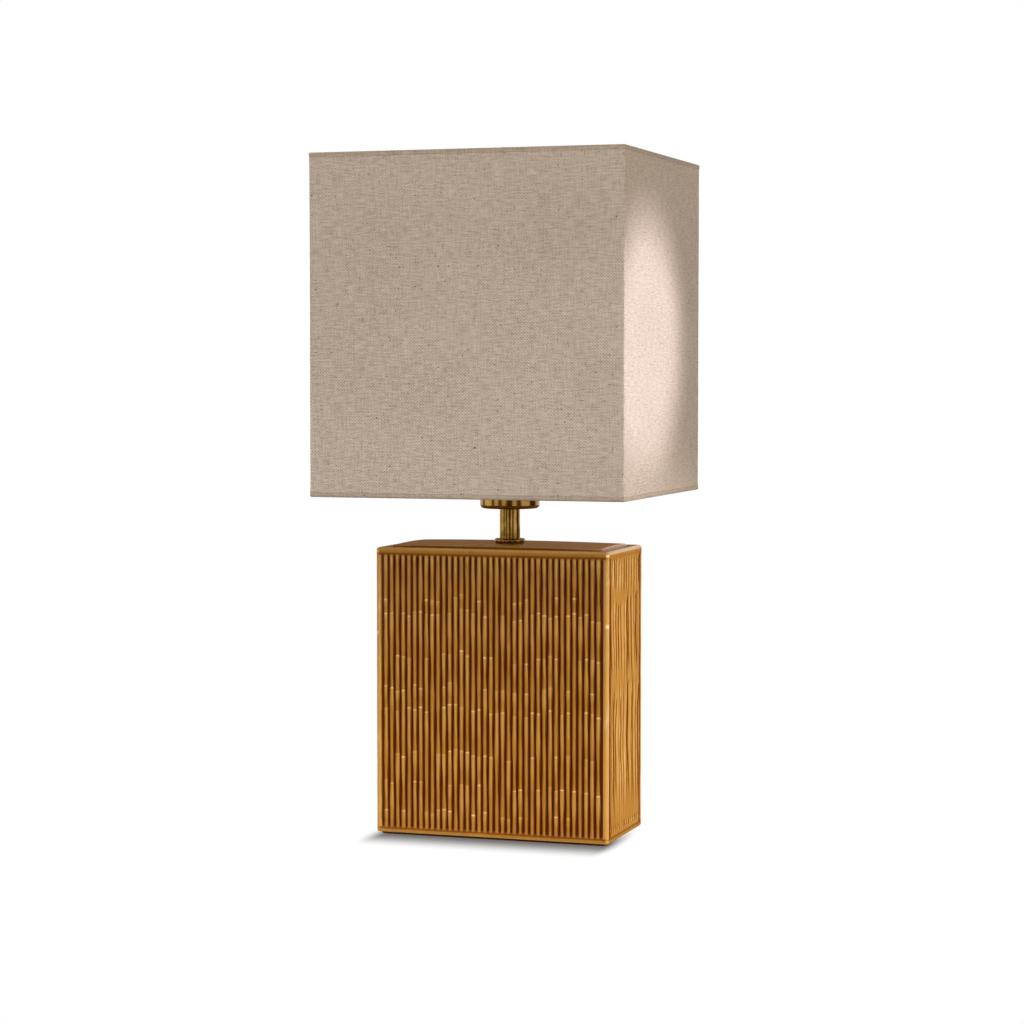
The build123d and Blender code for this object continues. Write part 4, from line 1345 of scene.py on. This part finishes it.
@dataclass
class Lampholder:
    """Threaded sleeve and contact spring of the lampholder, and the bush of the cord."""

    palette: Palette
    wire: float = 0.8
    turns: float = 5.0

    def build(self) -> None:
        """Makes the sleeve, the bush and the spring."""
        z0, z1, flange = span("holder_sleeve")
        spigot, cup, ledge, thread = 19.45, 20.5, z0 + 9.0, 19.7
        self.sleeve(z0, z1, flange, spigot, cup, ledge, thread)
        low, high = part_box("cord_bush")
        y0, y1 = low.y / MM, high.y / MM
        face = y1 - 1.8
        stem = [(3.6, y0), (5.8, y0), (5.8, face), (8.0, face)]
        bush = [*stem, (8.0, y1 - 0.5), (7.0, y1), (4.4, y1), (3.6, y1 - 0.8)]
        piece = TurnedPiece("moulded_cord_bush", bush, "cord_bush", "base", "black_plastic", 0.35, 64)
        piece.spindle, piece.centre = Spindle.BACKWARD, (low.z + high.z) / 2 / MM
        piece.build(self.palette)
        self.spring()

    def sleeve(
        self, z0: float, z1: float, flange: float, spigot: float, cup: float, ledge: float, thread: float
    ) -> None:
        """The sleeve in two pieces, the flanged foot and the threaded length on it.

        Args:
            z0: Foot of the spigot.
            z1: Top of the thread.
            flange: Radius of the flange.
            spigot: Radius inside the cup.
            cup: Radius of the skirt, which is the cup's.
            ledge: Underside of the flange.
            thread: Radius over the thread.
        """
        bore = 18.2
        foot = [(bore, z0), (spigot, z0), (spigot, z0 + 5), (cup, z0 + 5), (cup, ledge), (flange, ledge)]
        foot += [(flange, ledge + 2), (bore, ledge + 2)]
        piece = TurnedPiece("brass_holder_flange", foot, "holder_sleeve", "base", "antique_brass", 0.2, 128)
        piece.build(self.palette)
        length = [(bore, ledge + 2), (thread, ledge + 2), (thread, z1), (bore, z1)]
        piece = TurnedPiece(
            "brass_threaded_sleeve", length, "holder_sleeve", "base", "antique_brass", 0.2, 96
        )
        piece.thread = Thread(2.5, 0.5, ledge + 2.5, z1 - 0.5)
        piece.build(self.palette)

    def spring(self) -> None:
        """The contact's coil spring: a circle of wire carried up a helix."""
        low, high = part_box("contact_spring")
        z0, z1, outer = low.z / MM, high.z / MM, high.x / MM
        reach = outer - self.wire / 2
        t = np.linspace(0.0, 1.0, 160)
        end = smooth(t / 0.12) * smooth((1 - t) / 0.12)
        climb = np.cumsum(0.12 + end)
        climb = (climb - climb[0]) / (climb[-1] - climb[0])
        centre = z0 + self.wire / 2 + (z1 - z0 - self.wire) * climb
        turn = 2 * math.pi * self.turns * t
        round_wire = np.linspace(0, 2 * math.pi, 9)[:-1]
        r = reach + self.wire / 2 * np.cos(round_wire)[None, :]
        x = r * np.cos(turn)[:, None]
        y = r * np.sin(turn)[:, None]
        z = centre[:, None] + self.wire / 2 * np.sin(round_wire)[None, :]
        draft = Draft("contact_coil_spring")
        ids = draft.add(np.stack([x, y, z], axis=-1))
        draft.grid(ids, False)
        for row in (0, -1):
            hub = np.array([[reach * math.cos(turn[row]), reach * math.sin(turn[row]), centre[row]]])
            draft.fan(ids[row], int(draft.add(hub)[0]))
        piece = draft.build("base", "zinc_steel", self.palette.by_slot["zinc_steel"])
        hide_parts("contact_spring")
        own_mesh(piece)


@dataclass
class Bulb:
    """Stick-shaped bulb: screw cap, collar and opal diffuser."""

    palette: Palette

    def build(self) -> None:
        """Makes the cap, the collar and the diffuser."""
        z0, z1, r = span("bulb_cap")
        cap = [(r - 2.4, z0), (r - 1.2, z0), (r, z0 + 2), (r, z1), (r - 1.4, z1), (r - 1.4, z0 + 1.5)]
        piece = TurnedPiece("bulb_screw_cap", cap, "bulb_cap", "bulb", "bulb_metal", 0.3, 72)
        piece.thread = Thread(3.6, 0.9, z0 + 2.5, z1 - 2.0)
        piece.build(self.palette)
        z0, z1, r = span("bulb_collar")
        collar = [(0.0, z0), (13.4, z0), (13.9, z0 + 1.5), (r, z1 - 0.8), (r, z1), (0.0, z1)]
        piece = TurnedPiece("bulb_collar_cone", collar, "bulb_collar", "bulb", "bulb_plastic", 0.6, 72)
        piece.build(self.palette)
        z0, z1, r = span("bulb_diffuser")
        turn = np.linspace(0, math.pi / 2, 10)
        dome = [(r - 4 + 4 * math.cos(a), z1 - 4 + 4 * math.sin(a)) for a in turn]
        stick = [(0.0, z0), (r - 0.4, z0), (r, z0 + 0.6), *dome, (0.0, z1)]
        piece = TurnedPiece("bulb_opal_stick", stick, "bulb_diffuser", "bulb", "opal_plastic", 0.3, 72)
        piece.build(self.palette)


# ---- Shade ---------------------------------------------------------------------------------


@dataclass
class LinenShade:
    """Linen stretched round the stiff lining, its edges rolled round both frame wires."""

    palette: Palette
    cloth: float = 0.7
    corner: float = 1.2
    fold: float = 5.2
    fold_height: float = 3.7
    width: float = field(init=False)
    depth: float = field(init=False)
    low: float = field(init=False)
    high: float = field(init=False)

    def __post_init__(self) -> None:
        """Takes the shade's outer size from its CAD node."""
        low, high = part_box("linen_cover")
        self.width = (high.x - low.x) / MM
        self.depth = (high.y - low.y) / MM
        self.low = low.z / MM
        self.high = high.z / MM

    def plan(self, spacing: float = 2.4, arc: int = 7) -> tuple[np.ndarray, np.ndarray, np.ndarray]:
        """The shade's outline seen from above.

        Args:
            spacing: Distance between columns along the flat sides.
            arc: Columns on each rounded corner.

        Returns:
            Points as (columns, 2), the outward directions, and the distance run along the cloth.
        """
        points, normals = [], []
        for index, (width, reach) in enumerate(((self.width, self.depth), (self.depth, self.width)) * 2):
            run = width / 2 - self.corner
            along = np.linspace(-run, run, int(2 * run / spacing))
            turn = np.linspace(0, math.pi / 2, arc)[1:-1]
            lengthwise = np.concatenate([along, run + self.corner * np.sin(turn)])
            bend = reach / 2 - self.corner * (1 - np.cos(turn))
            out = np.concatenate([np.full(len(along), reach / 2), bend])
            tilt = np.concatenate([np.zeros(len(along)), turn])
            angle = index * math.pi / 2
            x = lengthwise * math.cos(angle) + out * math.sin(angle)
            y = lengthwise * math.sin(angle) - out * math.cos(angle)
            points.append(np.stack([x, y], axis=-1))
            normals.append(np.stack([np.sin(angle + tilt), -np.cos(angle + tilt)], axis=-1))
        outline, outward = np.vstack(points), np.vstack(normals)
        steps = np.linalg.norm(np.diff(np.vstack([outline, outline[:1]]), axis=0), axis=1)
        return outline, outward, np.concatenate([[0.0], np.cumsum(steps)[:-1]])

    def section(self) -> tuple[np.ndarray, np.ndarray]:
        """Section of the cloth from inside the lower roll, up the outside and into the upper roll.

        Returns:
            (inset, height) rows of the cloth's outside, and the distance run along them.
        """
        edge = 1.1
        turn = np.linspace(0, math.pi / 2, 6)
        low_bend = np.stack([edge - edge * np.sin(turn), self.low + edge - edge * np.cos(turn)], axis=1)
        wall = np.arange(self.low + edge + 2.0, self.high - edge - 1.0, 2.4)
        side = np.stack([np.zeros(len(wall)), wall], axis=1)
        high_bend = np.stack([edge - edge * np.cos(turn), self.high - edge + edge * np.sin(turn)], axis=1)
        inner = self.fold + self.cloth
        tail = self.fold_height
        hem = np.array([[inner, tail], [inner, 1.2], [inner - 0.5, 0.25], [inner - 1.4, 0.0]])
        start = hem + [0.0, self.low]
        end = (hem * [1.0, -1.0] + [0.0, self.high])[::-1]
        section = np.vstack([start, low_bend, side, high_bend, end])
        run = np.linalg.norm(np.diff(section, axis=0), axis=1)
        return section, np.concatenate([[0.0], np.cumsum(run)])

    def relief(self, along: np.ndarray, height: np.ndarray) -> np.ndarray:
        """How far the cloth stands in from its nominal face, in millimetres.

        The rolled edges keep the nominal face over 2.6 mm. The panels between them lie 0.16 mm in
        and wander up to 0.4 mm more.

        Args:
            along: Distance along the cloth, as (1, columns).
            height: Heights as (rows, 1).

        Returns:
            Insets as (rows, columns).
        """
        band = smooth((height - self.low - 2.6) / 1.4) * smooth((self.high - 2.8 - height) / 1.4)
        wander = 0.08 * (1 + drift(along + 0.35 * height, Seed.CLOTH_PANEL, 70.0))
        wander = wander + 0.05 * (1 + drift(height, Seed.CLOTH_HEIGHT, 28.0))
        wander = wander + 0.03 * (1 + drift(height + 0.02 * along, Seed.CLOTH_RIPPLE, 9.0))
        return 0.16 * band + np.clip(wander, 0.0, 0.4) * band

    def build(self) -> bpy.types.Object:
        """Makes the cover as a closed cloth with its own thickness and a map in metres of cloth."""
        outline, outward, along = self.plan()
        section, run = self.section()
        outer_inset = section[:, 0][:, None] + self.relief(along[None, :], section[:, 1][:, None])
        tangent = np.gradient(section, axis=0)
        tangent /= np.linalg.norm(tangent, axis=1, keepdims=True)
        inward = np.stack([tangent[:, 1], -tangent[:, 0]], axis=1) * self.cloth
        inner_inset = outer_inset + inward[:, 0][:, None]
        inner_height = section[:, 1] + inward[:, 1]
        half = np.array([self.width / 2, self.depth / 2])

        def lifted(inset: np.ndarray, height: np.ndarray) -> np.ndarray:
            """Points of the section carried round the outline."""
            scale = 1.0 - np.maximum(inset[..., None] - self.corner, 0.0) / half
            plan = np.where(
                inset[..., None] <= self.corner,
                outline[None] - outward[None] * inset[..., None],
                (outline - outward * self.corner)[None] * scale,
            )
            level = np.repeat(height[:, None], len(outline), axis=1)
            return np.concatenate([plan, level[..., None]], axis=-1)

        outer = lifted(outer_inset, section[:, 1])
        inner = lifted(inner_inset, inner_height)[::-1]
        draft = Draft("linen_shade_cover")
        ids = draft.add(np.concatenate([outer, inner], axis=0))
        draft.grid(ids, True)
        piece = draft.build("shade", "oatmeal_linen", self.palette.by_slot["oatmeal_linen"], 70.0)
        self.map_cloth(piece, along, np.concatenate([run, run[::-1]]))
        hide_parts("linen_cover")
        return piece

    def map_cloth(self, piece: bpy.types.Object, along: np.ndarray, run: np.ndarray) -> None:
        """Writes the cloth's own map, in metres across and up the cloth.

        Args:
            piece: The cover.
            along: Each column's distance along the cloth.
            run: Each row's distance up the cloth.
        """
        mesh = piece.data
        corners = np.zeros(len(mesh.loops), np.int32)
        mesh.loops.foreach_get("vertex_index", corners)
        across = along[corners % len(along)]
        up = run[corners // len(along)]
        quads = across.reshape(-1, 4)
        girth = 2 * (self.width + self.depth)
        wraps = (quads.max(axis=1) - quads.min(axis=1)) > girth / 2
        quads[wraps] = np.where(quads[wraps] < girth / 2, quads[wraps] + girth, quads[wraps])
        layer = mesh.uv_layers.new(name="cloth")
        layer.data.foreach_set("uv", (np.stack([quads.ravel(), up], axis=1) * MM).ravel())


# ---- Studio --------------------------------------------------------------------------------


@dataclass
class Studio:
    """Floor, soft lights, cards that only reflections see, and the camera."""

    lens: float = 93.63
    sensor: float = 36.0
    camera_turn: float = 18.511
    camera_tilt: float = 3.121
    distance: float = 1841.4
    slide: float = -1.44
    eye: float = 322.33
    floor_reach: float = 9.0
    lamp_middle: float = 0.25
    spot_away: float = 2.0
    spot_size: float = 0.025
    floor_card_reach: float = 1.3
    floor_card_lift: float = 0.0003
    # Insets and reaches of the floor's painted shadow round the base.
    shadow_far_inset: tuple[float, float, float] = (0.003, 0.085, 0.0)
    shadow_near_inset: tuple[float, float, float] = (0.008, 0.0, 0.0)
    shadow_right: tuple[float, float, float] = (0.012, 0.083, 1.0)
    shadow_front: tuple[float, float, float] = (0.015, 0.048, 1.0)
    # Each card: its first and last degree round the lamp, its colour, how far off and how tall.
    cards: tuple[tuple[float, float, str, float, float], ...] = (
        (-130.0, -116.0, "6A5238", 1.3, 1.2),
        (-76.0, -62.0, "4A3622", 1.3, 1.2),
        (-47.0, -30.0, "5A4630", 1.3, 1.2),
        (-15.0, 10.0, "4A3622", 1.3, 1.2),
        (25.0, 45.0, "4A3622", 1.3, 1.2),
        (82.0, 119.0, "4A3622", 1.3, 1.2),
        (112.0, 160.0, "7A5A3C", 0.3, 0.19),
        (160.0, 205.0, "8C6C50", 0.3, 1.2),
    )

    def camera(self) -> None:
        """Sets the camera at the photograph's place and tilt."""
        turn, tilt = math.radians(self.camera_turn), math.radians(self.camera_tilt)
        s, c = math.sin(turn), math.cos(turn)
        data = bpy.data.cameras.new("camera")
        data.lens, data.sensor_width = self.lens, self.sensor
        data.clip_start, data.clip_end = 0.05, 60.0
        camera = bpy.data.objects.new("camera", data)
        x = -self.slide * c + self.distance * s
        y = -self.slide * s - self.distance * c
        camera.location = (x * MM, y * MM, self.eye * MM)
        aim = Vector((-s * math.cos(tilt), c * math.cos(tilt), -math.sin(tilt)))
        camera.rotation_mode = "QUATERNION"
        camera.rotation_quaternion = aim.to_track_quat("-Z", "Y")
        bpy.context.scene.collection.objects.link(camera)
        bpy.context.scene.camera = camera

    def lamp(
        self,
        name: str,
        turn: float,
        rise: float,
        away: float,
        size: tuple[float, float],
        watts: float,
        tint: str,
        mirrored: bool = False,
    ) -> None:
        """Adds a soft box that faces the lamp.

        Args:
            name: Its name.
            turn: Degrees round from the front, rightwards.
            rise: Degrees over the horizon.
            away: Distance in metres.
            size: Width and height in metres.
            watts: Its power.
            tint: Its colour in hex.
            mirrored: Whether it shows in reflections.
        """
        data = bpy.data.lights.new(name, "AREA")
        data.shape, data.size, data.size_y = "RECTANGLE", size[0], size[1]
        data.energy, data.color = watts, linear(tint)[:3]
        self.hang(data, turn, rise, away, (0.0, 0.0, self.lamp_middle), mirrored)

    def spot(
        self,
        name: str,
        turn: float,
        rise: float,
        aim: tuple[float, float, float],
        radius: float,
        watts: float,
        tint: str,
        blend: float = 1.0,
    ) -> None:
        """Adds a spot light two metres off, whose soft round pool of light falls on a place.

        Args:
            name: Its name.
            turn: Degrees round from the front, rightwards.
            rise: Degrees over the horizon.
            aim: Middle of the pool, in metres.
            radius: Where the pool ends, in metres.
            watts: Its power.
            tint: Its colour in hex.
            blend: Share of the pool that fades.
        """
        data = bpy.data.lights.new(name, "SPOT")
        data.energy, data.color = watts, linear(tint)[:3]
        data.spot_size, data.spot_blend = 2 * math.atan(radius / self.spot_away), blend
        data.shadow_soft_size = self.spot_size
        self.hang(data, turn, rise, self.spot_away, aim, False)

    def hang(
        self,
        data: bpy.types.Light,
        turn: float,
        rise: float,
        away: float,
        aim: tuple[float, float, float],
        mirrored: bool,
    ) -> None:
        """Hangs a light so that it faces a place.

        Args:
            data: The light.
            turn: Degrees round from the front, rightwards.
            rise: Degrees over the horizon.
            away: Its distance from the place, in metres.
            aim: The place, in metres.
            mirrored: Whether it shows in reflections.
        """
        light = bpy.data.objects.new(data.name, data)
        a, e = math.radians(turn), math.radians(rise)
        back = Vector((math.sin(a) * math.cos(e), -math.cos(a) * math.cos(e), math.sin(e)))
        light.location = Vector(aim) + back * away
        light.rotation_mode = "QUATERNION"
        light.rotation_quaternion = (-back).to_track_quat("-Z", "Y")
        light.visible_glossy = mirrored
        bpy.context.scene.collection.objects.link(light)

    def white_for_view(
        self, tree: bpy.types.NodeTree, seen: bpy.types.NodeSocket, other: bpy.types.NodeSocket
    ) -> bpy.types.NodeSocket:
        """Mixes two shaders: one for camera, glossy and transmission rays, one for the rest."""
        path = add_node(tree, "LightPath").outputs
        first = maths(tree, "MAXIMUM", path["Is Camera Ray"], path["Is Glossy Ray"])
        either = maths(tree, "MAXIMUM", first, path["Is Transmission Ray"])
        return add_node(tree, "MixShader", inputs={0: either, 1: other, 2: seen}).outputs[0]

    def world(self) -> None:
        """White all round for what is seen, and an even half light for what is lit."""
        world = bpy.data.worlds.new("studio")
        world.use_nodes = True
        tree = world.node_tree
        tree.nodes.clear()
        seen = add_node(tree, "Background", inputs={"Color": (1, 1, 1, 1), "Strength": 1.0})
        lit = add_node(tree, "Background", inputs={"Color": linear("FFFAF4"), "Strength": 0.5})
        mixed = self.white_for_view(tree, seen.outputs[0], lit.outputs[0])
        add_node(tree, "OutputWorld", inputs={"Surface": mixed})
        bpy.context.scene.world = world

    def floor(self) -> None:
        """A white floor, plain white farther off, with a painted shadow near the base: a dark grey floor
        there that the lights shade further.
        """
        corners = np.array([[-1, -1], [1, -1], [1, 1], [-1, 1]]) * self.floor_reach
        mesh = bpy.data.meshes.new("studio_floor")
        mesh.from_pydata(np.concatenate([corners, np.zeros((4, 1))], axis=1), [], [[0, 1, 2, 3]])
        floor = bpy.data.objects.new("studio_floor", mesh)
        bpy.context.scene.collection.objects.link(floor)
        material = bpy.data.materials.new("white_floor")
        material.use_nodes = True
        tree = material.node_tree
        tree.nodes.clear()
        paper = add_node(tree, "BsdfDiffuse", inputs={"Color": (0.8, 0.8, 0.8, 1)})
        # Painted shadow: a dark grey floor near the base, fading to plain white with distance.
        near = add_node(tree, "BsdfDiffuse", inputs={"Color": (0.2, 0.2, 0.2, 1)})
        white = add_node(tree, "Emission", inputs={"Color": (1, 1, 1, 1), "Strength": 1.0})
        at = add_node(tree, "TexCoord")
        low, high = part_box("ceramic_base")
        far, near_corner = high - Vector(self.shadow_far_inset), low + Vector(self.shadow_near_inset)

        def vector(operation: str, *values: object) -> bpy.types.Node:
            """A vector node fed with these sockets or triples."""
            return add_node(tree, "VectorMath", {"operation": operation}, dict(enumerate(values)))

        shares = []
        for corner, reach, way in ((far, self.shadow_right, 1.0), (near_corner, self.shadow_front, -1.0)):
            past = vector("SUBTRACT", at.outputs["Object"], (corner.x, corner.y, 0.0))
            scale = tuple(way / size for size in reach)
            shares.append(vector("MULTIPLY", past.outputs[0], scale).outputs[0])
        outside = vector("MAXIMUM", vector("MAXIMUM", *shares).outputs[0], (0.0, 0.0, 0.0))
        away = vector("LENGTH", outside.outputs[0]).outputs["Value"]
        fade = add_node(tree, "MapRange", {"interpolation_type": "SMOOTHSTEP"}, {"Value": away})
        surfaces = {0: fade.outputs[0], 1: near.outputs[0], 2: white.outputs[0]}
        seen = add_node(tree, "MixShader", inputs=surfaces)
        mixed = self.white_for_view(tree, seen.outputs[0], paper.outputs[0])
        add_node(tree, "OutputMaterial", inputs={"Surface": mixed})
        mesh.materials.append(material)

    def card(self, name: str, first: float, last: float, colour: str, away: float, high: float) -> None:
        """A dark card that only reflections see, as a studio flag is.

        Args:
            name: Its name.
            first: Its left edge, in degrees rightwards from the camera as seen from the lamp.
            last: Its right edge.
            colour: What it shows, in hex.
            away: Distance in metres.
            high: Its top, in metres.
        """
        middle = math.radians(self.camera_turn + (first + last) / 2)
        half = away * math.tan(math.radians((last - first) / 2))
        out = np.array([math.sin(middle), -math.cos(middle), 0.0]) * away
        side = np.array([math.cos(middle), math.sin(middle), 0.0]) * half
        foot, top = np.array([0.0, 0.0, -0.1]), np.array([0.0, 0.0, high])
        corners = [out - side + foot, out + side + foot, out + side + top, out - side + top]
        self.flag(name, np.array(corners), colour)

    def flag(self, name: str, points: np.ndarray, colour: str) -> None:
        """A four-sided sheet at these points that only reflections see.

        Args:
            name: Its name.
            points: Its corners in metres, as (4, 3).
            colour: What it shows, in hex.
        """
        mesh = bpy.data.meshes.new(name)
        mesh.from_pydata(points, [], [[0, 1, 2, 3]])
        card = bpy.data.objects.new(name, mesh)
        bpy.context.scene.collection.objects.link(card)
        material = bpy.data.materials.new(name)
        material.use_nodes = True
        tree = material.node_tree
        tree.nodes.clear()
        paint = add_node(tree, "Emission", inputs={"Color": linear(colour), "Strength": 1.0})
        add_node(tree, "OutputMaterial", inputs={"Surface": paint.outputs[0]})
        mesh.materials.append(material)
        card.visible_camera = card.visible_diffuse = card.visible_shadow = card.visible_transmission = False

    def build(self) -> None:
        """Sets up the whole studio."""
        bpy.context.scene.view_settings.view_transform = "Standard"
        self.camera()
        self.world()
        self.floor()
        self.lamp("key_right", 84.0, 12.0, 2.0, (1.2, 1.6), 8.0, "FFE6CC")
        self.spot("pool_on_shade", 84.0, 12.0, (0.11, -0.04, 0.337), 0.096, 220.0, "F4F3FF", 0.6)
        self.spot("pool_on_shade_corner", 80.0, 8.0, (0.11, -0.115, 0.25), 0.07, 90.0, "F4F3FF")
        self.spot("pool_on_base_side", 84.0, 16.0, (0.08, 0.0, 0.08), 0.2, 150.0, "FFFCFA")
        self.spot("pool_on_base_front", -20.0, 20.0, (0.0, -0.04, -0.04), 0.2, 40.0, "FFFAF2")
        self.lamp("fill_left", -20.0, 30.0, 2.2, (1.6, 1.6), 11.0, "FFFFFF")
        self.lamp("top", 20.0, 80.0, 2.2, (1.5, 1.5), 6.0, "FFFFFF")
        self.lamp("glint", -4.0, 48.0, 2.0, (0.24, 0.24), 4.5, "FFFAF0", mirrored=True)
        for index, (first, last, colour, away, high) in enumerate(self.cards):
            self.card(f"card_{index}", first, last, colour, away, high)
        out, up = self.floor_card_reach, self.floor_card_lift
        square = np.array([[-out, -out, up], [out, -out, up], [out, out, up], [-out, out, up]])
        self.flag("card_on_floor", square, "6A5238")


# ---- Assembly ------------------------------------------------------------------------------


def lengths(corners: tuple[Vector, Vector]) -> list[list[float]]:
    """A box's two corners as plain lists."""
    return [list(corner) for corner in corners]


def main() -> None:
    """Builds the lamp and its studio."""
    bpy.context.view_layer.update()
    palette = Palette()
    palette.dress(frame["record"], frame["nodes"])
    parts = (
        CeramicBase(palette),
        FeltSole(palette),
        BrassNeck(palette),
        Lampholder(palette),
        Bulb(palette),
        LinenShade(palette),
    )
    for part in parts:
        part.build()
        log.info("%s done", type(part).__name__)
    Studio().build()


if __name__ == "__main__":
    main()
